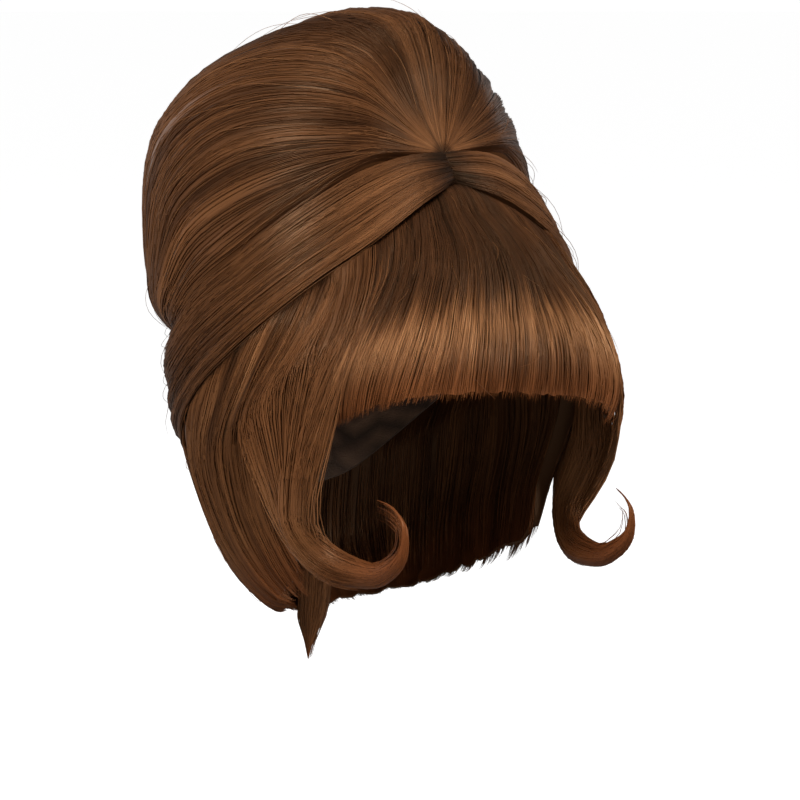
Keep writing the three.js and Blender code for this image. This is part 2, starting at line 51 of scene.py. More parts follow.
# Sizes from the boxes of the frame's solids. Each solid lies a known way inside the hair's outline.
LOCK_RELIEF = 2.4 * MM
BEEHIVE_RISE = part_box("crown_beehive")[1].z + 0.7 * MM
CROWN_REACH = (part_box("crown_beehive")[1].y + 0.3 * LOCK_RELIEF) / 0.977
HALF_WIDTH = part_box("sweep_left")[1].x + 0.1 * MM
FRINGE_REACH = (0.5 * LOCK_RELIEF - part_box("fringe")[0].y) / 0.977
SKIRT_DROP = (LOCK_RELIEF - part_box("back_hair")[0].z) / 0.998
CAP_LOW, CAP_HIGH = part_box("wig_cap")
CAP_WALL = CAP_HIGH.z
HEAD_WIDTH = 2 * (CAP_HIGH.x - CAP_WALL)
HEAD_LENGTH = 2 * (CAP_HIGH.y - CAP_WALL) / 1.007
CAP_DROP = -CAP_LOW.z / 1.008
HEAD_DROP = 1.295 * CAP_DROP

# Thickness and tucks of the hair
CAP_CLEARANCE = 1.1 * MM
FRINGE_TIP = 6 * MM
SIDE_TIP = 7 * MM
HANG_DEPTH = 13 * MM
CROWN_TUCK = 9 * MM
FRINGE_TUCK = 5 * MM
HANG_TUCK = 3 * MM
ROOT_TUCK = 2 * MM
SWEEP_PROUD = 3.5 * MM
CREASE_DEPTH = 4 * MM

# Cheek curls and nape tail
CURL_RADIUS = 20 * MM
CURL_WIDTH = 22 * MM
CURL_DEPTH = 9 * MM
TAIL_WIDTH = 40 * MM
TAIL_DEPTH = 6 * MM
TAIL_LEAN = 6 * MM

# Every surface is seen from one point inside
HEART = np.array([0.0, 0.085 * CROWN_REACH, -0.263 * SKIRT_DROP])

# Level sections, highest first: level, front, back, half, widest and square. level is a share of
# BEEHIVE_RISE above the origin and of the drop below it, the next four are shares of the front reach,
# back reach, half width and back reach, and square is the section's exponent.
CROWN_SECTIONS = [
    (0.96, 0.12, 0.24, 0.22, 0.1, 2),
    (0.8, 0.25, 0.5, 0.44, 0.18, 2),
    (0.56, 0.35, 0.77, 0.67, 0.255, 2),
    (0.267, 0.45, 0.91, 0.825, 0.3, 2.05),
    (-0.022, 0.54, 0.97, 0.895, 0.3, 2.05),
    (-0.154, 0.645, 0.955, 0.925, 0.255, 2.1),
    (-0.285, 0.72, 0.9, 0.935, 0.21, 2.1),
    (-0.43, 0.72, 0.8, 0.9, 0.14, 2.1),
]
SKIRT_SECTIONS = [
    (0.533, 0.2, 0.62, 0.48, 0.24, 2),
    (0.2, 0.38, 0.77, 0.69, 0.255, 2),
    (-0.044, 0.56, 0.83, 0.81, 0.21, 2),
    (-0.175, 0.78, 0.8, 0.89, 0.12, 2.05),
    (-0.307, 0.945, 0.705, 0.955, 0.03, 2.35),
    (-0.439, 1.01, 0.645, 0.97, -0.035, 2.65),
    (-0.57, 0.985, 0.645, 0.925, -0.07, 2.65),
    (-0.702, 0.89, 0.66, 0.83, -0.07, 2.5),
    (-0.833, 0.82, 0.64, 0.705, -0.07, 2.3),
    (-0.912, 0.73, 0.59, 0.59, -0.07, 2.2),
    (-1, 0.62, 0.48, 0.42, -0.07, 2.1),
]
HEAD_SECTIONS = [
    (-0.014, 0.27, 0.35, 0.315, 0.02, 2),
    (-0.056, 0.515, 0.62, 0.58, 0.03, 2),
    (-0.14, 0.785, 0.845, 0.815, 0.04, 2.05),
    (-0.256, 0.94, 0.97, 0.95, 0.04, 2.1),
    (-0.395, 0.99, 1.01, 1, 0.04, 2.2),
    (-0.535, 0.98, 0.97, 0.985, 0, 2.2),
    (-0.674, 0.95, 0.845, 0.895, -0.02, 2.2),
    (-0.814, 0.907, 0.68, 0.76, -0.04, 2.1),
    (-1, 0.825, 0.6, 0.66, -0.05, 2),
]

# Lower edge of the cap: degrees from the front, and share of CAP_DROP.
CAP_RIM = [(0, 0.3), (35, 0.325), (58, 0.43), (74, 0.59), (92, 0.56), (118, 0.76), (150, 0.95), (180, 1)]

# Stations of the strands: degrees round the right side from the front, and level as in the sections.
CREASE = [
    *[(0, 0.14), (11, 0.14), (24, 0.12), (44, 0.025), (62, -0.057), (80, -0.15)],
    *[(98, -0.237), (111, -0.315), (130, -0.368), (152, -0.404), (180, -0.425)],
]
SWEEP_EDGE = [
    *[(0, -0.005), (19, -0.048), (37, -0.118), (53, -0.193), (72, -0.307)],
    *[(88, -0.395), (103, -0.482), (124, -0.579), (150, -0.645), (180, -0.675)],
]
CROWN_STARTS, CROWN_STOPS = 1 / 22, 15 / 22

# Crown strands: the share of the crease's length where each ends on it, and its stations.
CROWN_STRANDS = [
    (0.74, [(7, 0.16), (31, 0.21), (62, 0.175), (90, -0.005), (108, -0.1), (117, -0.22)]),
    (0.8, [(5.6, 0.168), (34, 0.39), (70, 0.43), (101, 0.28), (119, -0.05), (127, -0.22)]),
    (0.87, [(4.2, 0.172), (27, 0.54), (66, 0.73), (118, 0.62), (138, 0), (142, -0.22)]),
    (0.94, [(2.4, 0.175), (10, 0.56), (22, 0.84), (110, 0.95), (157, 0.66), (161, 0), (161, -0.22)]),
    (1, [(0, 0.176), (0, 0.7), (0, 0.93), (180, 0.9), (180, 0.6), (180, 0), (180, -0.22)]),
]

# Hanging strands, front to back: the share of the swept edge's length where each leaves it, its
# stations, and the tip's level on the left side.
HANGING_STRANDS = [
    (0, [(0, -0.132), (0, -0.246), (0, -0.342), (0, -0.43)], -0.436),
    (0.05, [(11, -0.123), (13, -0.237), (14, -0.333), (14, -0.418)], -0.45),
    (0.1, [(21, -0.132), (25, -0.237), (27, -0.333), (28, -0.421)], -0.49),
    (0.155, [(30, -0.158), (35, -0.263), (37, -0.351), (37, -0.443)], -0.525),
    (0.21, [(37, -0.193), (41, -0.298), (43, -0.386), (43, -0.469)], -0.545),
    (
        0.31,
        [(53, -0.29), (58, -0.386), (61.5, -0.491), (64.5, -0.592), (65, -0.702), (57, -0.842)],
        -0.842,
    ),
    (0.41, [(68, -0.386), (73, -0.491), (75, -0.6), (74, -0.71), (66, -0.864)], -0.864),
    (0.51, [(84, -0.47), (89, -0.575), (91, -0.68), (90, -0.78), (81, -0.89)], -0.89),
    (0.61, [(100, -0.54), (104, -0.64), (106, -0.73), (105, -0.815), (97, -0.917)], -0.917),
    (0.71, [(117, -0.62), (120, -0.71), (121, -0.785), (120, -0.855), (114, -0.945)], -0.945),
    (0.81, [(137, -0.69), (139, -0.765), (140, -0.83), (139, -0.89), (135, -0.97)], -0.97),
    (0.91, [(158, -0.735), (159, -0.805), (160, -0.865), (160, -0.925), (157, -0.99)], -0.99),
    (1, [(180, -0.755), (180, -0.825), (180, -0.885), (180, -0.94), (180, -1)], -1),
]
FRINGE_END, SIDE_START, BACK_START = 4, 5, 9

# The cheek lock's loop: turn, radius, out, width and depth, as degrees from straight behind its middle
# and shares of CURL_RADIUS, HALF_WIDTH, CURL_WIDTH and CURL_DEPTH. Its middle lies at ahead, a share of
# FRINGE_REACH, and level. Both differ from side to side, and True is the left.
CURL_MIDDLES = {False: (0.782, -0.684), True: (0.735, -0.728)}
CURL_TIPS = {False: 1, True: 0.94}
CURL_LOOP = [
    (-49, 2.3, 0.88, 1.04, 1.1),
    (-22, 2, 0.86, 1, 1),
    (-1, 2.05, 0.825, 0.93, 0.97),
    (18, 1.85, 0.77, 0.82, 0.92),
    (36, 1.48, 0.725, 0.7, 0.85),
    (64, 1.02, 0.7, 0.54, 0.72),
    (100, 0.84, 0.69, 0.42, 0.62),
    (148, 0.88, 0.69, 0.36, 0.55),
    (174, 1.03, 0.69, 0.3, 0.48),
    (199, 1.13, 0.69, 0.24, 0.4),
    (217, 1.07, 0.69, 0.18, 0.32),
    (238, 0.98, 0.69, 0.11, 0.22),
    (266, 0.89, 0.695, 0.05, 0.12),
]


def unit(vectors):
    return vectors / np.linalg.norm(vectors, axis=-1, keepdims=True)


def smooth(x, start, end):
    t = np.clip((x - start) / (end - start), 0, 1)
    return t * t * (3 - 2 * t)


def mix(a, b, t):
    return a + (b - a) * t


def through(knots, values, x):
    """Values at x through rising knots, by cubic pieces."""
    last = len(knots) - 1
    at = np.clip(x, knots[0], knots[last])
    i = np.clip(np.searchsorted(knots, at, side="right") - 1, 0, last - 1)
    before = np.maximum(np.arange(last + 1) - 1, 0)
    after = np.minimum(np.arange(last + 1) + 1, last)
    slopes = (values[after] - values[before]) / (knots[after] - knots[before])
    step = knots[i + 1] - knots[i]
    t = (at - knots[i]) / step
    return (
        (2 * t**3 - 3 * t**2 + 1) * values[i]
        + (t**3 - 2 * t**2 + t) * step * slopes[i]
        + (3 * t**2 - 2 * t**3) * values[i + 1]
        + (t**3 - t**2) * step * slopes[i + 1]
    )


class SectionSurface:
    """A surface through level sections, asked how far out from the heart it lies in given directions."""

    def __init__(self, sections, rise, drop, front, back, half):
        rows = np.array(sections, float)
        levels = np.where(rows[:, 0] > 0, rows[:, 0] * rise, rows[:, 0] * drop)
        middles = rows[:, 4] * back
        self.rise, self.drop = rise, drop
        self.knots = np.concatenate([[0], np.sqrt(rise - levels)])
        self.front = np.concatenate([[middles[0]], -rows[:, 1] * front])
        self.back = np.concatenate([[middles[0]], rows[:, 2] * back])
        self.half = np.concatenate([[0], rows[:, 3] * half])
        self.widest = np.concatenate([[middles[0]], middles])
        self.square = np.concatenate([[rows[0, 5]], rows[:, 5]])

    def holds(self, points):
        root = np.sqrt(np.maximum(self.rise - points[:, 2], 0))
        widest = through(self.knots, self.widest, root)
        front = widest - through(self.knots, self.front, root)
        back = through(self.knots, self.back, root) - widest
        reach = np.maximum(np.where(points[:, 1] < widest, front, back), 1e-5)
        square = through(self.knots, self.square, root)
        half = np.maximum(through(self.knots, self.half, root), 1e-5)
        across = np.abs(points[:, 0] / half) ** square
        along = np.abs((points[:, 1] - widest) / reach) ** square
        return (points[:, 2] < self.rise) & (across + along < 1)

    def distance(self, ways, origins=HEART):
        ways = np.asarray(ways)
        near = np.zeros(len(ways))
        far = np.full(len(ways), 4 * HALF_WIDTH)
        for _ in range(22):
            middle = (near + far) / 2
            inside = self.holds(origins + ways * middle[:, None])
            near = np.where(inside, middle, near)
            far = np.where(inside, far, middle)
        return near

    def stations(self, rows):
        rows = np.array(rows, float)
        angle = np.radians(rows[:, 0])
        level = np.where(rows[:, 1] > 0, rows[:, 1] * self.rise, rows[:, 1] * self.drop)
        origins = np.stack([0 * level, 0 * level + HEART[1], level], -1)
        outward = np.stack([-np.sin(angle), -np.cos(angle), 0 * angle], -1)
        places = origins + outward * self.distance(outward, origins)[:, None]
        return unit(places - HEART)


crown_surface = SectionSurface(
    CROWN_SECTIONS, BEEHIVE_RISE, SKIRT_DROP, FRINGE_REACH, CROWN_REACH, HALF_WIDTH
)
skirt_surface = SectionSurface(
    SKIRT_SECTIONS, BEEHIVE_RISE, SKIRT_DROP, FRINGE_REACH, CROWN_REACH, HALF_WIDTH
)
head_surface = SectionSurface(HEAD_SECTIONS, 0, HEAD_DROP, HEAD_LENGTH / 2, HEAD_LENGTH / 2, HEAD_WIDTH / 2)


def on_cap(ways):
    return head_surface.distance(ways) + CAP_WALL + CAP_CLEARANCE


def catmull(a, b, c, d, t):
    t = t[..., None]
    return b + 0.5 * t * (c - a + t * (2 * a - 5 * b + 4 * c - d + t * (3 * (b - c) + d - a)))


def run(points, t):
    """Places on a smooth run through points, at shares t with equal steps from point to point."""
    points = np.asarray(points, float)
    last = len(points) - 1
    x = np.clip(t, 0, 1) * last
    i = np.clip(np.floor(x).astype(int), 0, last - 1)
    a = points[np.maximum(i - 1, 0)]
    d = points[np.minimum(i + 2, last)]
    return catmull(a, points[i], points[i + 1], d, x - i)


STRAND_STEPS = 64


def even_run(ways):
    """Directions at equal lengths along a smooth run through the given ones."""
    samples = unit(run(ways, np.linspace(0, 1, 6 * STRAND_STEPS)))
    steps = np.linalg.norm(np.diff(samples, axis=0), axis=1)
    lengths = np.concatenate([[0], np.cumsum(steps)])
    wanted = np.linspace(0, lengths[-1], STRAND_STEPS + 1)
    return unit(np.stack([np.interp(wanted, lengths, samples[:, k]) for k in range(3)], -1))


def part_of(strand, start, end):
    """The same strand from one share of its length to another."""
    at = np.linspace(start, end, STRAND_STEPS + 1) * STRAND_STEPS
    grid = np.arange(STRAND_STEPS + 1)
    return unit(np.stack([np.interp(at, grid, strand[:, k]) for k in range(3)], -1))


def mirrored(strand):
    return strand * np.array([-1, 1, 1])


class Fan:
    """Directions between neighbouring strands: u across them, v along them."""

    def __init__(self, strands):
        self.strands = np.array(strands)

    def ways(self, u, v):
        count = len(self.strands)
        row = np.clip(v, 0, 1) * STRAND_STEPS
        j = np.clip(np.floor(row).astype(int), 0, STRAND_STEPS - 1)
        part = (row - j)[..., None]
        x = np.clip(u, 0, 1) * (count - 1)
        i = np.clip(np.floor(x).astype(int), 0, count - 2)

        def at(k):
            k = np.clip(k, 0, count - 1)
            return self.strands[k, j] * (1 - part) + self.strands[k, j + 1] * part

        beyond = (u * (count - 1) - x)[..., None] * (at(i + 1) - at(i))
        return unit(catmull(at(i - 1), at(i), at(i + 1), at(i + 2), x - i) + beyond)


crease = even_run(skirt_surface.stations(CREASE))
sweep_edge = even_run(skirt_surface.stations(SWEEP_EDGE))


def hanging_strand(row, is_left=False):
    along, stations, tip_left = row
    if is_left:
        stations = [*stations[:-1], (stations[-1][0], tip_left)]
    ways = skirt_surface.stations(stations)
    root = sweep_edge[round(along * STRAND_STEPS)]
    strand = even_run(np.concatenate([[root], ways]))
    return mirrored(strand) if is_left else strand


crown_right = [part_of(crease, CROWN_STARTS, CROWN_STOPS)]
for ends_at, stations in CROWN_STRANDS:
    root = skirt_surface.stations(stations[:1])
    rest = crown_surface.stations(stations[1:])
    end = crease[round(ends_at * STRAND_STEPS)]
    crown_right.append(even_run(np.concatenate([root, rest, [end]])))
crown_left = [mirrored(strand) for strand in crown_right[:-1]]
hanging_right = [hanging_strand(row) for row in HANGING_STRANDS]
hanging_left = [hanging_strand(row, True) for row in HANGING_STRANDS]

random = np.random.default_rng(1962)
draws = random.random
NOISE_LAYERS, NOISE_CELLS = 8, 257
LATTICE = draws((NOISE_LAYERS, NOISE_CELLS, NOISE_CELLS))


def noise(x, y, layer):
    """Smooth noise from 0 to 1 on a fixed lattice."""
    i = np.floor(x).astype(int)
    j = np.floor(y).astype(int)
    across = smooth(x - i, 0, 1)
    grid = LATTICE[layer % NOISE_LAYERS]

    def at(a, b):
        return grid[a % NOISE_CELLS, b % NOISE_CELLS]

    top = mix(at(i, j), at(i + 1, j), across)
    bottom = mix(at(i, j + 1), at(i + 1, j + 1), across)
    return mix(top, bottom, smooth(y - j, 0, 1))


def locks(u, v, count, layer):
    """Uneven rounded locks side by side that wander a little along their length, 0 to 1."""
    x = u * count + 0.35 * np.sin(1.7 * u * count + layer)
    x = x + 0.9 * (noise(u * count * 0.5, v * 2.2, layer) - 0.5)
    t = x - np.floor(x)
    return 1 - np.abs(2 * t - 1) ** 2.4


def roll(inside, share):
    return (1 - np.clip(inside / share, 0, 1)) ** 2


def no_glow(u, v):
    return 0 * v


def no_more(u):
    return 0 * u


@dataclass
class Section:
    """A section of hair over the head: u across it, v along it."""

    strands: list
    outline: object  # how far out its surface lies
    inside: object  # and its inner side
    lock_count: int
    width: float
    length: float
    layer: int  # of the noise
    # glow: the painted highlights and painted shade added to the section's tone
    glow: object = no_glow
    gather: object = None  # the way where its roots meet
    longer: object = no_more  # how far past 1 it hangs
    lean: object = no_glow  # how far hair combed from u lies aside at v

    def __post_init__(self):
        self.fan = Fan(self.strands)
        self.thin_tip = 0 if self.inside is filled else 1

    def grain(self, u, size, v, layer):
        """Noise in streaks of a width along the section."""
        return noise(u * self.width / size, v, self.layer + layer)

    def relief(self, u, v):
        big = locks(u, v, self.lock_count, self.layer)
        middle = self.grain(u, 6 * MM, v * self.length / (130 * MM) + 9, 1)
        fine = self.grain(u, 2.2 * MM, v * self.length / (90 * MM) + 3, 2)
        height = 1.5 * MM * (big - 1) + 1.1 * MM * (middle - 0.7) + 0.45 * MM * (fine - 0.5)
        return smooth(v, 0.02, 0.22) * height

    def outer(self, u, v):
        ways = self.fan.ways(u, v)
        if self.gather is not None:
            ways = unit(mix(ways, self.gather, 0.9 * (1 - smooth(v, -0.02, 0.07))[:, None]))
        out = self.outline(ways, u, v) + self.relief(u + self.lean(u, v), v)
        return ways, np.maximum(out, on_cap(ways) + 2 * MM)

    def inner(self, u, v):
        ways, out = self.outer(u, v)
        deep = np.minimum(self.inside(ways, v, out), out - MM)
        return ways, mix(deep, out - 1.2 * MM, self.thin_tip * smooth(v, 0.86, 1))

    def places(self, u, v, lift):
        """Places above the surface. Before 0 and past 1 they run on over the edge and turn inward."""
        shape = u.shape
        u, v, lift = u.ravel(), v.ravel(), lift.ravel()
        ways, out = self.outer(u, v)
        places = HEART + ways * (out + lift)[:, None]
        past, before = np.maximum(v - 1, 0), np.minimum(v, 0)
        for beyond, edge, near, bend in ((past, 1, 0.96, 24 * MM), (before, 0, 0.03, 12 * MM)):
            beyond = beyond[:, None]
            edge_ways, edge_out = self.outer(u, 0 * v + edge)
            near_ways, near_out = self.outer(u, 0 * v + near)
            along = (edge_ways * edge_out[:, None] - near_ways * near_out[:, None]) / (edge - near)
            run_on = np.linalg.norm(along, axis=1)[:, None] * beyond
            places = places + along * beyond - edge_ways * run_on**2 / bend
        return places.reshape(*shape, 3), ways.reshape(*shape, 3)


def crown_outline(ways, u, v):
    groove = CREASE_DEPTH * roll(np.minimum(u, 1 - u), 0.05) + CROWN_TUCK * roll(1 - v, 0.16)
    root = skirt_surface.distance(ways)
    full = crown_surface.distance(ways)
    return mix(np.minimum(root, full), full, smooth(v, 0, 0.16)) - groove


def sweep_outline(ways, u, v):
    groove = roll(u, 0.3) * smooth(v, 0, 0.1) + roll(1 - u, 0.18) / 2 + roll(1 - v, 0.06)
    proud = SWEEP_PROUD * smooth(v, 0, 0.1)
    return skirt_surface.distance(ways) + proud - CREASE_DEPTH * groove


def hung_outline(tuck):
    def outline(ways, u, v):
        return skirt_surface.distance(ways) - tuck * roll(1 - v, 0.3) - ROOT_TUCK * roll(v, 0.15)

    return outline


def filled(ways, v, out):
    return on_cap(ways)


def hanging(tip):
    def inside(ways, v, out):
        return np.maximum(on_cap(ways), out - mix(3 * HANG_DEPTH, tip, smooth(v, 0, 0.75)))

    return inside


class MeshParts:
    """Gathers grids and strands with their tone, warmth, flow and bake places, then makes one mesh."""

    def __init__(self):
        self.points = []
        self.quads = []
        self.places = []
        self.tones = []
        self.warmths = []
        self.flows = []
        self.slots = []
        self.count = 0

    def put(self, points, tone, warmth, flow, quads, places, slot):
        self.quads.append(quads.reshape(-1, 4) + self.count)
        self.places.append(places.reshape(-1, 4, 2))
        self.slots.append(np.full(len(self.quads[-1]), slot))
        self.points.append(points.reshape(-1, 3))
        self.tones.append(tone.ravel())
        self.warmths.append(warmth.ravel())
        self.flows.append(flow.reshape(-1, 2))
        self.count += len(self.points[-1])

    def add_grid(self, points, tone, warmth, flow, place):
        """A grid of points, rows by columns, in the first material. place is its box on the bake map."""
        rows, columns = points.shape[:2]
        index = np.arange(rows * columns).reshape(rows, columns)
        quads = np.stack([index[:-1, :-1], index[:-1, 1:], index[1:, 1:], index[1:, :-1]], -1)
        x = np.linspace(place[0], place[2], columns)
        y = np.linspace(place[1], place[3], rows)
        spots = np.stack(np.meshgrid(x, y), -1)
        corners = [spots[:-1, :-1], spots[:-1, 1:], spots[1:, 1:], spots[1:, :-1]]
        self.put(points, tone, warmth, flow, quads, np.stack(corners, 2), 0)

    def add_strands(self, paths, ups, radii, tones, warmths, place):
        """Three-sided strands along paths, strands by steps, in the second material. ups points outward."""
        strands, steps = paths.shape[:2]
        ahead = unit(np.gradient(paths, axis=1))
        side = unit(np.cross(ahead, ups))
        up = np.cross(side, ahead)
        rings = []
        for k in range(3):
            angle = ROUND * (k / 3 + 0.25)
            out = side * math.cos(angle) + up * math.sin(angle)
            rings.append(paths + out * radii[..., None])
        index = np.arange(strands * steps * 3).reshape(strands, steps, 3)
        turned = np.roll(index, -1, axis=2)
        quads = np.stack([index[:, :-1], turned[:, :-1], turned[:, 1:], index[:, 1:]], -1)
        tone = np.repeat(tones[..., None], 3, axis=2)
        warmth = np.repeat(warmths[..., None], 3, axis=2)
        lengths = np.linalg.norm(np.diff(paths, axis=1), axis=2).cumsum(axis=1)
        lengths = np.concatenate([np.zeros((strands, 1)), lengths], axis=1)
        across = np.repeat(draws(strands)[:, None] * 0.3, steps, axis=1)
        flow = np.repeat(np.stack([across, lengths], -1)[:, :, None, :], 3, axis=2)
        spots = self.strand_spots(strands, steps, place)
        self.put(np.stack(rings, 2), tone, warmth, flow, quads, spots, 1)

    def strand_spots(self, strands, steps, place):
        """Each strand's own cell in the box on the bake map, with a border round it."""
        border_x, border_y = 0.08, 0.04
        cells = math.ceil(math.sqrt(strands))
        cell = np.arange(strands)
        left = (cell % cells)[:, None, None]
        foot = (cell // cells)[:, None, None]
        k = np.arange(3)[None, None, :]
        j = np.arange(steps - 1)[None, :, None]
        wide, high = 1 - 2 * border_x, 1 - 2 * border_y
        x0 = (left + border_x + wide * k / 3) / cells
        x1 = (left + border_x + wide * (k + 1) / 3) / cells
        y0 = (foot + border_y + high * j / (steps - 1)) / cells
        y1 = (foot + border_y + high * (j + 1) / (steps - 1)) / cells
        x0, x1, y0, y1 = np.broadcast_arrays(x0, x1, y0, y1)
        corners = [(x0, y0), (x1, y0), (x1, y1), (x0, y1)]
        spots = np.stack([np.stack(corner, -1) for corner in corners], 3)
        return spots * np.array([place[2] - place[0], place[3] - place[1]]) + np.array(place[:2])

    def make(self, name, materials):
        points = np.concatenate(self.points)
        quads = np.concatenate(self.quads)
        mesh = bpy.data.meshes.new(name)
        mesh.vertices.add(len(points))
        mesh.vertices.foreach_set("co", points.astype(np.float32).ravel())
        mesh.loops.add(len(quads) * 4)
        mesh.loops.foreach_set("vertex_index", quads.astype(np.int32).ravel())
        mesh.polygons.add(len(quads))
        mesh.polygons.foreach_set("loop_start", np.arange(0, len(quads) * 4, 4, dtype=np.int32))
        mesh.polygons.foreach_set("material_index", np.concatenate(self.slots).astype(np.int32))
        mesh.polygons.foreach_set("use_smooth", np.ones(len(quads), bool))
        mesh.update(calc_edges=True)
        layer = mesh.uv_layers.new(name="OFBake")
        layer.data.foreach_set("uv", np.concatenate(self.places).astype(np.float32).ravel())
        for title, values in (("tone", self.tones), ("warmth", self.warmths)):
            attribute = mesh.attributes.new(title, "FLOAT", "POINT")
            attribute.data.foreach_set("value", np.concatenate(values).astype(np.float32))
        flow = np.concatenate(self.flows)
        flow = np.concatenate([flow, np.zeros((len(flow), 1))], axis=1)
        attribute = mesh.attributes.new("flow", "FLOAT_VECTOR", "POINT")
        attribute.data.foreach_set("vector", flow.astype(np.float32).ravel())
        for material in materials:
            mesh.materials.append(material)
        piece = bpy.data.objects.new(name, mesh)
        bpy.context.scene.collection.objects.link(piece)
        return piece


def finish_piece(piece, node):
    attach(piece, "root")
    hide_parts(node)


def attribute_of(nodes, name, output):
    node = nodes.new("ShaderNodeAttribute")
    node.attribute_name = name
    return node.outputs[output]


def set_inputs(node, values):
    for name, value in values.items():
        node.inputs[name].default_value = value


def add_bump(nodes, links, height, shader):
    bump = nodes.new("ShaderNodeBump")
    set_inputs(bump, {"Strength": 0.5, "Distance": 0.4 * MM})
    links.new(height, bump.inputs["Height"])
    links.new(bump.outputs["Normal"], shader.inputs["Normal"])


# Colours of the hair by tone
HAIR_COLOURS = [
    (0, (0.012, 0.005, 0.002)),
    (0.25, (0.05, 0.019, 0.007)),
    (0.5, (0.135, 0.055, 0.02)),
    (0.75, (0.27, 0.125, 0.05)),
    (1, (0.48, 0.26, 0.13)),
]
WARM_TINT = (1.25, 0.86, 0.66, 1)
SHINE_TINT = (1, 0.64, 0.38, 1)


def hair_material(name, streak, relief):
    """Brown hair. Its colour runs from dark to golden by tone, with fine streaks along the flow."""
    material = bpy.data.materials.new(name)
    material.use_nodes = True
    nodes = material.node_tree.nodes
    links = material.node_tree.links
    nodes.clear()
    output = nodes.new("ShaderNodeOutputMaterial")
    shader = nodes.new("ShaderNodeBsdfPrincipled")
    links.new(shader.outputs["BSDF"], output.inputs["Surface"])
    stretch = nodes.new("ShaderNodeMapping")
    stretch.inputs["Scale"].default_value = (1500, 26, 1)
    links.new(attribute_of(nodes, "flow", "Vector"), stretch.inputs["Vector"])
    fine = nodes.new("ShaderNodeTexNoise")
    set_inputs(fine, {"Scale": 1, "Detail": 3, "Roughness": 0.6})
    links.new(stretch.outputs["Vector"], fine.inputs["Vector"])
    streaks = nodes.new("ShaderNodeMath")
    streaks.operation = "MULTIPLY_ADD"
    set_inputs(streaks, {1: streak, 2: -0.5 * streak})
    links.new(fine.outputs["Fac"], streaks.inputs[0])
    total = nodes.new("ShaderNodeMath")
    total.operation = "ADD"
    links.new(attribute_of(nodes, "tone", "Fac"), total.inputs[0])
    links.new(streaks.outputs["Value"], total.inputs[1])
    ramp = nodes.new("ShaderNodeValToRGB")
    links.new(total.outputs["Value"], ramp.inputs["Fac"])
    elements = ramp.color_ramp.elements
    elements[0].color = (*HAIR_COLOURS[0][1], 1)
    elements[1].color = (*HAIR_COLOURS[-1][1], 1)
    for place, colour in HAIR_COLOURS[1:-1]:
        elements.new(place).color = (*colour, 1)
    warm = nodes.new("ShaderNodeMix")
    warm.data_type = "RGBA"
    warm.blend_type = "MULTIPLY"
    warm.inputs["B"].default_value = WARM_TINT
    links.new(attribute_of(nodes, "warmth", "Fac"), warm.inputs["Factor"])
    links.new(ramp.outputs["Color"], warm.inputs["A"])
    links.new(warm.outputs["Result"], shader.inputs["Base Color"])
    set_inputs(shader, {"Roughness": 0.36, "Specular IOR Level": 0.25, "Specular Tint": SHINE_TINT})
    if relief:
        add_bump(nodes, links, fine.outputs["Fac"], shader)
    return material


hair_finishes = [hair_material("hair_combed", 0.34, True), hair_material("hair_strands", 0.04, False)]


def even_warmth(v):
    return 0 * v + 0.12


def tip_warmth(v):
    return 0.12 + 0.6 * smooth(v, 0.76, 1)


def curl_warmth(v):
    return 0.2 + 0.65 * smooth(v, 0.4, 0.7)


def tone_at(u, v, section, mean):
    """Light and dark bands along the hair, with painted shade in the grooves between locks and at the
    roots, and the section's painted light.
    """
    wide = section.grain(u, 11 * MM, v * 1.5, 3)
    thin = section.grain(u, 2.4 * MM, v * 2.5, 4)
    groove = locks(u, v, section.lock_count, section.layer)
    # painted shade: darker in the grooves between locks and near the roots
    shade = 0.08 * (1 - groove) + 0.22 * (1 - smooth(v, 0, 0.06))
    return mean + 0.14 * (wide - 0.5) + 0.1 * (thin - 0.5) - shade + section.glow(u, v)


def add_base(parts, section, columns, rows, mean, warmth):
    """The combed surface of a section with its inside and edges, both painted darker as painted shade.
    Loose ends are ragged.
    """
    skin = 1.2 * MM

    def spread(columns, rows):
        u, v = np.meshgrid(np.linspace(0, 1, columns + 1), np.linspace(0, 1, rows + 1))
        ragged = 0.008 + 0.018 * section.grain(u, 9 * MM, 0 * v + 3, 6)
        ragged = ragged + 0.01 * section.grain(u, 2 * MM, 0 * v + 5, 7)
        v = v * (1 + (section.longer(u) - section.thin_tip * ragged) * smooth(v, 0.75, 1))
        return u, v

    def underneath(u, v):
        ways, deep = section.inner(u.ravel(), np.minimum(v, 1).ravel())
        within = (HEART + ways * deep[:, None]).reshape(*u.shape, 3)
        past = section.places(u, v, 0 * v - skin)[0]
        return np.where((v > 1)[..., None], past, within)

    def add(u, v, points, tone, place, turn=1):
        flow = np.stack([u * section.width, v * section.length], -1)
        grids = [grid[:, ::turn] for grid in (points, tone, warmth(v), flow)]
        parts.add_grid(*grids, place)

    u, v = spread(columns, rows)
    combed = u + section.lean(u, v)
    outside = section.places(u, v, 0 * v)[0]
    add(combed, v, outside, tone_at(combed, v, section, mean), (0, 0.5, 0.7, 1), -1)
    few_u, few_v = spread(max(columns // 5, 12), rows // 2)
    # painted shade: the inside is darker than the outside
    inner_tone = tone_at(few_u, few_v, section, mean - 0.16)
    add(few_u, few_v, underneath(few_u, few_v), inner_tone, (0.71, 0.5, 1, 0.86))
    under = underneath(u, v)
    edges = [
        (under[0], outside[0], 0.985, 1),
        (outside[-1], under[-1], 0.87, 0.9),
        (outside[:, 0], under[:, 0], 0.91, 0.94),
        (under[:, -1], outside[:, -1], 0.95, 0.98),
    ]
    for near, far, foot, head in edges:
        strip = np.stack([near, far])
        shape = strip.shape[:2]
        # painted shade: the edge strips in the gaps between sections are dark
        dark = np.full(shape, mean - 0.14)
        parts.add_grid(strip, dark, np.zeros(shape), np.zeros((*shape, 2)), (0.71, foot, 1, head))


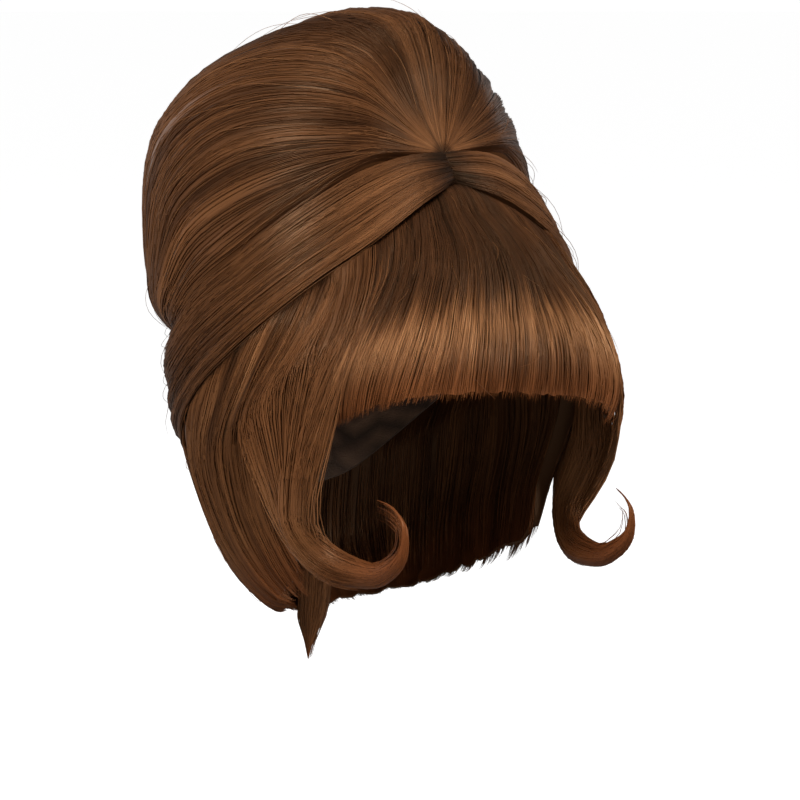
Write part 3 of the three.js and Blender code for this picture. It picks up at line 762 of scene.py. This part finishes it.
@dataclass
class Look:
    """How the strands of a section lie."""

    strands: int
    steps: int  # places along each strand
    tone: float  # mean tone of the section, 0 dark to 1 golden
    reach: float  # mean length of a strand, as a share of the section's
    fly: float  # the furthest that a loose hair stands off
    loose: int = 60  # loose hairs
    inner: int = 0  # strands on the inside
    spread: float = 4 * MM  # a clump's width
    drift: float = 6 * MM  # how far a clump wanders aside
    wander: float = 2 * MM  # and each of its strands
    tight: float = 0.45  # how far a clump closes towards its tip
    lift: float = 0.6 * MM  # a strand's most lift off the surface
    clump_lift: float = 0.6 * MM  # and a clump's
    ahead: float = 0  # how far strands start before the root
    past: float = 0  # how far they hang past the edge
    cross: float = 0  # how far they pass the edges at the sides


CLUMP_SIZE = 8
LOOSE_STEPS = 10
INNER_STEPS = 7
SHORTEST = 0.2  # least share of the section's length that a strand covers


def thickness(radius, vary, count):
    """Radii of strands round a mean one, as a column."""
    return (radius * (1 - vary + 2 * vary * draws(count)))[:, None]


def taper(t, root, tip, pace):
    """Share of the thickness along a strand: it grows from root and ends at tip."""
    return np.minimum(1, root + 5 * t) * np.minimum(1, tip + pace * (1 - t))


def strand_paths(section, look):
    """Strands that lie in clumps on a section: paths, outward ways, radii, tones and v."""
    count = look.strands
    clumps = count // CLUMP_SIZE
    home = (np.arange(clumps) + draws(clumps)) / clumps
    clump = random.integers(0, clumps, count)
    offset = random.normal(0, 0.5, count) * look.spread / section.width
    length = look.reach * (0.7 + 0.6 * draws(count))
    past = look.past * draws(clumps)[clump] * (0.3 + 0.7 * draws(count))
    middle = draws(count) * (1 + length) - 0.5 * length
    ahead = look.ahead * draws(clumps)[clump]
    start = np.maximum(middle - 0.5 * length, 0.004 - ahead)
    tips = 1 + past + section.longer(home)[clump] - 0.03 * draws(count)
    end = np.where(middle + 0.5 * length > 0.96, tips, middle + 0.5 * length)
    end = np.maximum(end, SHORTEST + 0.01)
    start = np.minimum(start, end - SHORTEST)
    t = np.linspace(0, 1, look.steps)[None, :]
    v = start[:, None] + (end - start)[:, None] * t
    drift = noise(home[clump][:, None] * 40, v * 1.4, section.layer + 5) - 0.5
    own = noise(np.arange(count)[:, None] * 0.73, v * 1.7, section.layer + 6) - 0.5
    tight = 1 - look.tight * smooth(v, 0.1, 1)
    u = home[clump][:, None] + offset[:, None] * tight
    u = u + drift * look.drift / section.width
    u = u + own * look.wander / section.width
    cross = look.cross / section.width * (draws(count) ** 2)[:, None]
    u = np.abs(u + cross) - cross
    u = 1 + cross - np.abs(1 + cross - u)
    high = draws(clumps)[clump] * look.clump_lift
    lift = 0.05 * MM + draws(count) * look.lift + high
    hump = np.sin(math.pi * t) ** 0.6
    sink = np.where(start < 0.01, 0, 0.5 * MM)[:, None] * (1 - smooth(t, 0, 0.2))
    paths, ways = section.places(u - section.lean(u, v), v, lift[:, None] * (0.3 + 0.7 * hump) - sink)
    radii = thickness(0.3 * MM, 0.25, count) * taper(t, 0.35, 0.12, 3.5)
    tone = tone_at(u, v, section, look.tone)
    tone = tone + 0.08 * (draws(clumps)[clump] - 0.5)[:, None]
    tone = tone + random.normal(0, 0.035, count)[:, None]
    return paths, ways, radii, tone, v


def loose_paths(section, look):
    """Thin single hairs that stand off the surface in long arcs."""
    count = look.loose
    length = 0.07 + 0.2 * draws(count)
    start = draws(count) * (1.02 - length)
    t = np.linspace(0, 1, LOOSE_STEPS)[None, :]
    v = start[:, None] + length[:, None] * t
    home = draws(count)[:, None]
    aside = 6 * MM / section.width * random.normal(0, 1, count)[:, None]
    u = np.clip(home + aside * t**2, 0.002, 0.998)
    height = look.fly * draws(count) ** 2
    ends_loose = draws(count)[:, None] < 0.5
    arc = np.where(ends_loose, smooth(t, 0, 1.2) * 1.3, np.sin(math.pi * t))
    paths, ways = section.places(u, v, 0.4 * MM + height[:, None] * arc)
    radii = thickness(0.13 * MM, 0.2, count) * taper(t, 0.3, 0.3, 3.5)
    return paths, ways, radii, 0 * v + look.tone + 0.1, v


def inner_paths(section, look):
    """Strands on the inside of hanging hair, painted darker as painted shade."""
    count = look.inner
    t = np.linspace(0, 1, INNER_STEPS)[None, :]
    u = draws(count)[:, None] + 0 * t
    start = 0.25 + 0.4 * draws(count)
    end = 1 - 0.2 * draws(count) ** 2
    v = start[:, None] + (end - start)[:, None] * t
    u = np.clip(u + 5 * MM / section.width * (noise(u * 60, v * 2, section.layer + 7) - 0.5), 0, 1)
    ways, deep = section.inner(u.ravel(), v.ravel())
    lift = np.repeat(draws(count) * 1.2 * MM, INNER_STEPS)
    paths = (HEART + ways * (deep - lift)[:, None]).reshape(count, INNER_STEPS, 3)
    radii = thickness(0.36 * MM, 0.3, count) * taper(t, 0.3, 0.12, 3.5)
    # painted shade: inner strands are darker
    tone = tone_at(u, v, section, look.tone - 0.08) + random.normal(0, 0.06, count)[:, None]
    return paths, -ways.reshape(count, INNER_STEPS, 3), radii, tone, v


def make_section(name, section, columns, rows, look, warmth):
    """One section's piece: its combed surface, its strands and its loose hairs."""
    parts = MeshParts()
    add_base(parts, section, columns, rows, look.tone, warmth)
    layers = [(strand_paths, 0, 0.7), (loose_paths, 0.71, 0.78)]
    if look.inner:
        layers.append((inner_paths, 0.79, 1))
    for layer, left, right in layers:
        paths, ups, radii, tones, v = layer(section, look)
        parts.add_strands(paths, ups, radii, tones, warmth(v), (left, 0, right, 0.49))
    finish_piece(parts.make("hair_" + name, hair_finishes), name)


def crown_painted_light(u, v):
    """Painted light: a painted highlight ring where the hair rises from the parting, painted shade in the
    parting, broad lighter and darker bands, and painted shade over the top that eases a little further
    back.
    """
    ring = 0.14 * np.exp(-(((v - 0.032) / 0.014) ** 2)) - 0.24 * (1 - smooth(v, 0.004, 0.02))
    bands = 0.18 * (noise(u * 26, v * 1.3, 5) - 0.5) * smooth(v, 0.01, 0.08)
    return ring + bands - 0.2 * smooth(v, 0.03, 0.085) + 0.06 * smooth(v, 0.3, 0.5)


def sweep_painted_light(u, v):
    """Painted shade at the parting, then a painted highlight, then darker towards the back."""
    light = 0.05 * np.exp(-(((v - 0.17) / 0.08) ** 2)) + 0.12 * (noise(u * 9, v * 2, 5) - 0.5)
    return light - 0.2 * (1 - smooth(v, 0.01, 0.12)) - 0.08 * smooth(v, 0.3, 0.65)


def side_painted_light(u, v):
    """Painted highlight streaks just below the swept section, and fainter light and dark streaks all the
    way down.
    """
    streaks = noise(u * 30, v * 1.4, 6)
    below = np.exp(-(((v - 0.22) / 0.15) ** 2))
    return 0.52 * (streaks - 0.25) * below + 0.22 * (noise(u * 17, v * 0.8, 5) - 0.5)


def fringe_painted_light(u, v):
    """A painted highlight band across the fringe with a ragged upper edge, a painted highlight on its far
    side, painted shade above the band, and lighter tips.
    """
    ragged = 0.16 * (noise(u * 70, v * 2, 5) - 0.5) + 0.1 * (noise(u * 190, v * 3, 6) - 0.5)
    band = np.exp(-(((v - 0.73 + ragged) / 0.1) ** 2))
    far = np.exp(-(((u - 0.88) / 0.1) ** 2) - ((v - 0.66) / 0.16) ** 2)
    dark = 0.21 * (1 - smooth(v + ragged, 0.56, 0.72))
    # band and far are painted highlights, dark is painted shade
    return 0.31 * band + 0.26 * far - dark + 0.09 * smooth(v, 0.85, 1)


def fringe_lean(u, v):
    """The fringe's lower hair lies towards the right temple."""
    return 0.13 * smooth(v, 0.35, 1.15) * np.clip(1 - u, 0, 1)


def back_longer(u):
    return 0.07 + 0 * u


whorl = skirt_surface.stations([(0, 0.135)])[0]
crown = Section(
    [*crown_right, *crown_left[::-1]],
    crown_outline,
    filled,
    lock_count=14,
    width=4.6 * HALF_WIDTH,
    length=2.3 * HALF_WIDTH,
    layer=0,
    glow=crown_painted_light,
    gather=whorl,
)
crown_look = Look(
    strands=2500,
    steps=10,
    tone=0.5,
    reach=0.42,
    fly=5 * MM,
    loose=110,
    lift=0.45 * MM,
    clump_lift=0.4 * MM,
)
make_section("crown_beehive", crown, 460, 44, crown_look, even_warmth)

sweep_look = Look(
    strands=1100,
    steps=11,
    tone=0.42,
    reach=0.45,
    fly=4 * MM,
    drift=4 * MM,
    cross=6 * MM,
    past=0.015,
    ahead=0.03,
)
side_look = Look(
    strands=950,
    steps=11,
    tone=0.37,
    reach=0.8,
    fly=4 * MM,
    inner=300,
    tight=0.6,
    wander=MM,
    past=0.05,
)
side_sections = {}
for side, is_left in (("right", False), ("left", True)):
    edges = [crease, sweep_edge]
    fan = hanging_right[SIDE_START : BACK_START + 1]
    if is_left:
        edges = [mirrored(edge) for edge in edges][::-1]
        fan = hanging_left[SIDE_START : BACK_START + 1][::-1]

    def outline(ways, u, v, is_left=is_left):
        return sweep_outline(ways, 1 - u if is_left else u, v)

    def longer(u, is_left=is_left):
        behind = 1 - u if is_left else u
        return 0.07 * smooth(behind, 0.2, 1) - 0.06 * (1 - smooth(behind, -0.05, 0.2))

    def back_lean(u, v, is_left=is_left):
        return (-0.2 if is_left else 0.2) * (1 - smooth(v, -0.05, 0.45)) * smooth(v, -0.2, 0.02)

    sweep = Section(
        edges,
        outline,
        filled,
        lock_count=4,
        width=0.45 * HALF_WIDTH,
        length=2.4 * HALF_WIDTH,
        layer=1,
        glow=sweep_painted_light,
    )
    make_section("sweep_" + side, sweep, 90, 60, sweep_look, even_warmth)
    side_sections[is_left] = Section(
        fan,
        hung_outline(HANG_TUCK),
        hanging(SIDE_TIP),
        lock_count=6,
        width=HALF_WIDTH,
        length=1.5 * HALF_WIDTH,
        layer=2,
        glow=side_painted_light,
        longer=longer,
        lean=back_lean,
    )
    make_section("side_hair_" + side, side_sections[is_left], 130, 36, side_look, tip_warmth)

fringe = Section(
    [*hanging_left[1 : FRINGE_END + 1][::-1], *hanging_right[: FRINGE_END + 1]][::-1],
    hung_outline(FRINGE_TUCK),
    hanging(FRINGE_TIP),
    lock_count=11,
    width=1.7 * HALF_WIDTH,
    length=1.05 * HALF_WIDTH,
    layer=3,
    glow=fringe_painted_light,
    lean=fringe_lean,
)
fringe_look = Look(
    strands=2300,
    steps=10,
    tone=0.42,
    reach=0.8,
    fly=3 * MM,
    inner=250,
    spread=3 * MM,
    drift=3 * MM,
    past=0.02,
)
make_section("fringe", fringe, 300, 30, fringe_look, tip_warmth)

back = Section(
    [*hanging_right[BACK_START:], *hanging_left[BACK_START:-1][::-1]],
    hung_outline(HANG_TUCK),
    hanging(SIDE_TIP),
    lock_count=8,
    width=1.6 * HALF_WIDTH,
    length=0.9 * HALF_WIDTH,
    layer=4,
    longer=back_longer,
)
back_look = Look(strands=1200, steps=9, tone=0.4, reach=0.8, fly=3 * MM, inner=450, past=0.04)
make_section("back_hair", back, 200, 28, back_look, tip_warmth)


def curl_line(is_left):
    """The cheek lock's middle line on the right: places, ways of its thickness and width, and sizes."""
    front = hanging_strand(HANGING_STRANDS[FRINGE_END], is_left)
    if is_left:
        front = mirrored(front)
    rear = hanging_right[SIDE_START]
    centres, deeps, wides, widths, depths = [], [], [], [], []
    for v in (0.02, 0.12, 0.25, 0.38):
        a = front[round(min(1.6 * v, 1) * STRAND_STEPS)]
        b = rear[round(v * STRAND_STEPS)]
        way = unit(a + b)
        surface = float(skirt_surface.distance(way[None])[0])
        width = math.acos(float(a @ b)) * surface
        depth = min(HANG_DEPTH, surface - float(on_cap(way[None])[0]) - width**2 / (8 * surface))
        centres.append(HEART + way * (surface - depth / 2))
        deeps.append(way)
        wides.append(unit(b - a))
        widths.append(width)
        depths.append(depth)
    ahead, level = CURL_MIDDLES[is_left]
    for turn, radius, out, width, depth in CURL_LOOP:
        angle = math.radians(turn)
        y = -ahead * FRINGE_REACH + radius * CURL_RADIUS * math.cos(angle)
        z = level * SKIRT_DROP - radius * CURL_RADIUS * math.sin(angle)
        centres.append(np.array([-out * HALF_WIDTH, y, z]))
        deeps.append(np.array([-1.0, 0, 0]))
        widths.append(width * CURL_WIDTH)
        depths.append(depth * CURL_DEPTH)
    for i in range(4, len(centres)):
        after = centres[min(i + 1, len(centres) - 1)]
        wides.append(unit(np.cross(after - centres[i - 1], deeps[i])))
    thin = 1 - 0.7 * smooth(np.linspace(0, 1, len(centres)), 0.62, 0.9)
    return [np.array(x) for x in (centres, deeps, wides, widths * thin, depths * thin)]


def tail_line():
    """The nape tail's middle line, in the same form."""
    low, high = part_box("nape_tail")
    t = np.linspace(0, 1, 9)
    y = low.y + TAIL_DEPTH / 2 + TAIL_LEAN * smooth(t, 0.4, 1)
    z = high.z - t * (high.z - low.z)
    width = 0.45 * TAIL_WIDTH * np.minimum(2.5 * (1 - t), 1) ** 1.2 + 0.4 * MM
    return [
        np.stack([0 * t, y, z], -1),
        np.tile(np.array([0, 1.0, 0]), (9, 1)),
        np.tile(np.array([-1.0, 0, 0]), (9, 1)),
        width * smooth(t, -0.3, 0.4),
        TAIL_DEPTH * (1 - 0.8 * t) * smooth(t, -0.15, 0.3),
    ]


def lock_frames(line, t):
    """Place, way of the thickness, way of the width and sizes of a lock at shares t."""
    centres, deeps, wides, widths, depths = line
    centre = run(centres, t)
    wide = unit(run(wides, t))
    deep = run(deeps, t)
    deep = unit(deep - wide * (deep * wide).sum(-1, keepdims=True))
    width = run(widths[:, None], t)[..., 0]
    depth = run(depths[:, None], t)[..., 0]
    return centre, deep, wide, width, depth


def round_lock(line, t, angle, size):
    """Places round a lock's line at shares t, the ways out there and the way of its width."""
    centre, deep, wide, width, depth = lock_frames(line, t)
    cosine, sine = np.cos(angle), np.sin(angle)
    places = centre + wide * (cosine * size * width / 2)[:, None]
    places = places + deep * (sine * size * depth / 2)[:, None]
    return places, wide * cosine[:, None] + deep * sine[:, None], wide


def lock_painted_highlight(share):
    """A painted highlight where the cheek lock bends forward, and slightly lighter hair beyond it."""
    return 0.18 * np.exp(-(((share - 0.34) / 0.09) ** 2)) + 0.04 * smooth(share, 0.4, 0.6)


def snug_at(t, joins):
    """How much fuller a joined lock is at its root, where it fills the gap between its neighbours."""
    return 0.1 * (1 - smooth(t, 0.12, 0.35)) if joins else 0 * t


@dataclass
class Join:
    """Strands that start on the hair beside a lock and run into it."""

    section: Section
    edge: float  # u of the section's edge at the lock
    inward: float  # how far from there the strands start, in u
    behind: bool  # the section lies behind the lock
    count: int
    least: float = 0.88  # how far out in the lock they end, as shares of its half sizes
    most: float = 1.08
    longest: float = 14  # the last row of the lock that they reach


JOIN_STEPS = 15


def joining_paths(line, flip, join, mean):
    count = join.count
    rows = len(line[0]) - 1
    first = 3.2 * draws(count)
    last = first + 5 + 6 * draws(count)
    last = np.minimum(last, join.longest * (1 - 0.1 * draws(count)))
    t = np.linspace(0, 1, JOIN_STEPS)[None, :]
    row = first[:, None] + (last - first)[:, None] * t
    away = (draws(count) ** 1.9)[:, None] + 0 * row
    u = join.edge + join.inward * away * (1 - 0.3 * smooth(row, 0, 6))
    pace = 1 if join.behind else 1.6
    v = np.minimum(pace * (0.02 + 0.12 * row), 0.95)
    hump = np.sin(math.pi * t) ** 0.5
    lift = 0.2 * MM + (0.4 + 0.9 * draws(count))[:, None] * MM * hump
    beside, ways = join.section.places(u - join.section.lean(u, v), v, lift + 0 * row)
    turn = (0.15 + 1.15 * away) * (1 if join.behind else -1)
    angle = (math.pi / 2 - turn + 0.15 * random.normal(0, 1, count)[:, None]).ravel()
    size = np.repeat(join.least + (join.most - join.least) * draws(count), JOIN_STEPS)
    inside, turned, _ = round_lock(line, (row / rows).ravel(), angle, size)
    inside = (inside * flip).reshape(count, JOIN_STEPS, 3)
    turned = (turned * flip).reshape(count, JOIN_STEPS, 3)
    share = smooth(row, 0.7 + 2.9 * away, 3.5 + 4.2 * away)[..., None]
    radii = thickness(0.3 * MM, 0.3, count) * taper(t, 0.3, 0.12, 2.5)
    streaks = 0.16 * (noise(away * 9, row * 0.3, 4) - 0.5)
    streaks = streaks + 0.07 * (1 - smooth(row, 1, 5)) - 0.03 * smooth(row, 1, 5)
    # the joining strands carry the lock's painted highlight
    tones = mean + streaks + lock_painted_highlight(row / rows) + random.normal(0, 0.03, count)[:, None]
    apart = np.linalg.norm(inside - beside, axis=-1, keepdims=True)
    over = 4 * share * (1 - share) * (apart**2 / (6 * HALF_WIDTH) + 0.6 * MM)
    paths = mix(beside, inside, share) + ways * over
    return paths, mix(ways, turned, share), radii, tones, row / rows


def make_lock(name, line, tip, mirror, count, steps, rings, mean, warmth, wisps, loose, joins=()):
    """A lock of hair: a grooved core and strands round it that close in to its point.

    tip is the share of the line that it keeps, wisps the share of loose strands, loose how far they stray.
    """
    parts = MeshParts()
    sides = 40
    flip = np.array([-1 if mirror else 1, 1, 1])
    t = np.linspace(0, tip, rings)
    centre, deep, wide, width, depth = lock_frames(line, t)
    share = t / tip
    close = 1 - 0.85 * smooth(share, 0.86, 1)
    angle = np.linspace(0, ROUND, sides + 1)
    groove = 0.8 + snug_at(t, joins)[:, None] + 0.14 * noise(angle * 8, share[:, None] * 3, 5)
    groove[:, -1] = groove[:, 0]
    across = wide[:, None] * (np.cos(angle)[None, :] * groove * (width * close / 2)[:, None])[..., None]
    outward = deep[:, None] * (np.sin(angle)[None, :] * groove * (depth * close / 2)[:, None])[..., None]
    core = (centre[:, None] + across + outward) * flip
    # painted shade: the core is a little darker than the strands over it
    tone = mean - 0.06 + 0.2 * (noise(angle * 6, share[:, None] * 3, 6) - 0.5)
    # joined locks get the painted highlight where they bend
    if joins:
        tone = tone + lock_painted_highlight(share)[:, None]
    flow = np.stack(np.broadcast_arrays(angle * 14 * MM, share[:, None] * 0.25), -1)
    if not mirror:
        core, tone, flow = core[:, ::-1], tone[:, ::-1], flow[:, ::-1]
    parts.add_grid(core, tone, warmth(np.repeat(share[:, None], sides + 1, 1)), flow, (0, 0.5, 1, 1))
    start = np.where(draws(count) < 0.5, 0.01, 0.6) * draws(count)
    end = 1 - 0.3 * draws(count) ** 2.5
    along = np.linspace(0, 1, steps)[None, :]
    s = start[:, None] + (end - start)[:, None] * along
    phase = draws(count) * ROUND
    phase = phase[:, None] + 0.5 * (noise(np.arange(count)[:, None] * 0.61, s * 2.5, 7) - 0.5)
    fill = 0.88 + 0.2 * draws(count)
    stray = draws(count) < wisps
    spread = np.where(stray, 0.7 * draws(count), 0)[:, None] * smooth(s, 0.55, 1)
    fill = fill[:, None] + snug_at(s * tip, joins)
    size = (fill * (1 - 0.55 * smooth(s, 0.8, 1)) + spread).ravel()
    places, outward, wide = round_lock(line, (s * tip).ravel(), phase.ravel(), size)
    extra = np.where(stray, loose * draws(count) ** 1.5, 0)[:, None] * smooth(s, 0.45, 0.95) ** 2
    places = places - wide * extra.ravel()[:, None]
    radii = thickness(0.28 * MM, 0.3, count) * taper(along, 0.3, 0.12, 2.5)
    tones = mean + 0.18 * (noise(phase * 2.2, s * 2, 4) - 0.5) + random.normal(0, 0.04, count)[:, None]
    # and so do their strands
    if joins:
        tones = tones + lock_painted_highlight(s)
    paths = (places * flip).reshape(count, steps, 3)
    ups = (outward * flip).reshape(count, steps, 3)
    parts.add_strands(paths, ups, radii, tones, warmth(s), (0, 0, 0.5, 0.49))
    for k, join in enumerate(joins):
        paths, ups, radii, tones, shares = joining_paths(line, flip, join, mean)
        place = (0.51 + 0.16 * k, 0, 0.66 + 0.16 * k, 0.49)
        parts.add_strands(paths, ups, radii, tones, warmth(shares), place)
    finish_piece(parts.make("hair_" + name, hair_finishes), name)


for side, is_left in (("right", False), ("left", True)):
    edge, inward = (1, -1) if is_left else (0, 1)
    joins = [
        Join(side_sections[is_left], edge, 0.3 * inward, True, 240),
        Join(side_sections[is_left], edge, 0.34 * inward, True, 90, least=1.1, most=1.4, longest=9),
        Join(fringe, edge, 0.15 * inward, False, 150),
    ]
    make_lock(
        "cheek_curl_" + side,
        curl_line(is_left),
        tip=CURL_TIPS[is_left],
        mirror=is_left,
        count=480,
        steps=20,
        rings=90,
        mean=0.42,
        warmth=curl_warmth,
        wisps=0.03,
        loose=9 * MM,
        joins=joins,
    )
make_lock(
    "nape_tail",
    tail_line(),
    tip=1,
    mirror=False,
    count=260,
    steps=8,
    rings=20,
    mean=0.38,
    warmth=tip_warmth,
    wisps=0.15,
    loose=2 * MM,
)


def plain_material(name):
    material = bpy.data.materials.new(name)
    material.use_nodes = True
    return material, material.node_tree.nodes["Principled BSDF"]


def cap_finish():
    """Dark knotted net."""
    material, shader = plain_material("cap_net")
    nodes = material.node_tree.nodes
    links = material.node_tree.links
    ramp = nodes.new("ShaderNodeValToRGB")
    ramp.color_ramp.elements[0].color = (0.012, 0.008, 0.006, 1)
    ramp.color_ramp.elements[1].color = (0.3, 0.17, 0.1, 1)
    links.new(attribute_of(nodes, "tone", "Fac"), ramp.inputs["Fac"])
    links.new(ramp.outputs["Color"], shader.inputs["Base Color"])
    cells = nodes.new("ShaderNodeTexVoronoi")
    cells.inputs["Scale"].default_value = 700
    links.new(attribute_of(nodes, "flow", "Vector"), cells.inputs["Vector"])
    add_bump(nodes, links, cells.outputs["Distance"], shader)
    shader.inputs["Roughness"].default_value = 0.85
    return material


def make_cap():
    """The thin cap with its rows of sewn hair, seen from below."""
    weft_spacing = 8 * MM
    weft_height = 0.55 * MM
    rim = np.array(CAP_RIM, float)
    around, down = 72, 48
    turns = np.linspace(0, 360, around + 1)
    right = np.minimum(turns, 360 - turns)
    levels = -through(rim[:, 0], rim[:, 1], right) * CAP_DROP / HEAD_DROP
    edge = head_surface.stations(np.stack([right, levels], -1))
    edge[turns > 180] = mirrored(edge[turns > 180])
    top = np.array([0, 0, 1.0])
    axis = unit(np.cross(top, edge))
    reach = np.arccos(edge[:, 2])
    share = np.linspace(0.001, 1, down + 1)[:, None]
    angle = (reach[None, :] * share)[..., None]
    ways = top * np.cos(angle) + np.cross(axis, top)[None] * np.sin(angle)
    radius = head_surface.distance(ways.reshape(-1, 3)).reshape(down + 1, around + 1)
    length = radius * angle[..., 0]
    row = length / weft_spacing - np.floor(length / weft_spacing)
    weft = weft_height * np.exp(-((row - 0.5) ** 2) / 0.02)
    light = 0.2 + 0.7 * np.exp(-((row - 0.5) ** 2) / 0.03)
    none = np.zeros_like(light)
    flow = np.stack(np.broadcast_arrays(radius * np.radians(turns)[None, :], length), -1)
    outside = HEART + ways * (radius + CAP_WALL)[..., None]
    inside = HEART + ways * (radius + 0.6 * MM - weft)[..., None]
    parts = MeshParts()
    parts.add_grid(outside[:, ::-1], light[:, ::-1], none, flow[:, ::-1], (0, 0.5, 1, 1))
    parts.add_grid(inside, light, none, flow, (0, 0.02, 1, 0.49))
    band = np.stack([inside[-1], outside[-1]])
    parts.add_grid(band, np.full((2, around + 1), 0.2), none[:2], flow[:2] * 0, (0, 0, 1, 0.01))
    return parts.make("hair_cap", [cap_finish()])


finish_piece(make_cap(), "wig_cap")

# Pale studio
FLOOR_LEVEL = -0.44
STUDIO_REACH = 10.0
WALL_SIDES = 48
WHITE = (1, 1, 1, 1)


def studio_sheet(name, corners, faces, grey, glow):
    """A glowing sheet that only the camera sees."""
    mesh = bpy.data.meshes.new(name)
    mesh.from_pydata(corners, [], faces)
    material, shader = plain_material(name + "_white")
    set_inputs(shader, {"Base Color": (grey, grey, grey, 1), "Roughness": 0.9})
    set_inputs(shader, {"Emission Color": WHITE, "Emission Strength": glow})
    mesh.materials.append(material)
    sheet = bpy.data.objects.new(name, mesh)
    bpy.context.scene.collection.objects.link(sheet)
    sheet.visible_diffuse = False
    sheet.visible_glossy = False
    sheet.visible_shadow = False


quarter_turns = [(-1, -1), (1, -1), (1, 1), (-1, 1)]
floor_corners = [(x * STUDIO_REACH, y * STUDIO_REACH, FLOOR_LEVEL) for x, y in quarter_turns]
studio_sheet("floor", floor_corners, [(0, 1, 2, 3)], 0.6, 0.75)

turns = [ROUND * k / WALL_SIDES for k in range(WALL_SIDES)]
foot = [(STUDIO_REACH * math.cos(a), STUDIO_REACH * math.sin(a), FLOOR_LEVEL) for a in turns]
head = [(x, y, STUDIO_REACH) for x, y, z in foot]
walls = []
for k in range(WALL_SIDES):
    following = (k + 1) % WALL_SIDES
    walls.append((k, following, WALL_SIDES + following, WALL_SIDES + k))
ceiling = tuple(range(WALL_SIDES, 2 * WALL_SIDES))
studio_sheet("backdrop", foot + head, [*walls, ceiling], 0, 1)

world = bpy.data.worlds.new("studio")
bpy.context.scene.world = world
world.use_nodes = True
set_inputs(world.node_tree.nodes["Background"], {"Color": WHITE, "Strength": 0.38})

# The camera: degrees round towards the wig's right and up, and metres to the origin. The origin shows at
# ORIGIN_AT in the picture.
TURN = math.radians(37)
LIFT = math.radians(10)
DISTANCE = 1.5
PICTURE = 800
ORIGIN_AT = (385, 168)
PIXELS_PER_METRE = 2100
SENSOR = 36
sideways = Vector((math.cos(TURN), -math.sin(TURN), 0))
backward = Vector((-math.sin(TURN) * math.cos(LIFT), -math.cos(TURN) * math.cos(LIFT), math.sin(LIFT)))
upward = backward.cross(sideways)

WIG_MIDDLE = Vector((0, 0, -0.07))


def add_light(name, right, up, towards, size, power):
    """A soft light placed as seen from the camera, aimed at the wig."""
    data = bpy.data.lights.new(name, "AREA")
    data.size = size
    data.energy = power
    lamp = bpy.data.objects.new(name, data)
    lamp.location = sideways * right + upward * up + backward * towards + WIG_MIDDLE
    lamp.rotation_euler = (WIG_MIDDLE - lamp.location).to_track_quat("-Z", "Y").to_euler()
    bpy.context.scene.collection.objects.link(lamp)


add_light("key", -0.75, 0.65, 1.15, 0.5, 23)
add_light("fill", 1.2, 0.3, 0.8, 0.5, 15)
add_light("rim", 0.7, 1.2, -1.0, 1.0, 2.5)
add_light("back", -0.9, 0.3, -0.9, 1.2, 2.5)

camera_data = bpy.data.cameras.new("camera")
camera_data.sensor_width = SENSOR
camera_data.lens = PIXELS_PER_METRE * DISTANCE / PICTURE * SENSOR
camera = bpy.data.objects.new("camera", camera_data)
aside = (PICTURE / 2 - ORIGIN_AT[0]) / PIXELS_PER_METRE
below = (PICTURE / 2 - ORIGIN_AT[1]) / PIXELS_PER_METRE
camera.location = sideways * aside - upward * below + backward * DISTANCE
camera.rotation_mode = "QUATERNION"
camera.rotation_quaternion = Matrix((sideways, upward, backward)).transposed().to_quaternion()
bpy.context.scene.collection.objects.link(camera)
bpy.context.scene.camera = camera
bpy.context.scene.view_settings.view_transform = "Standard"
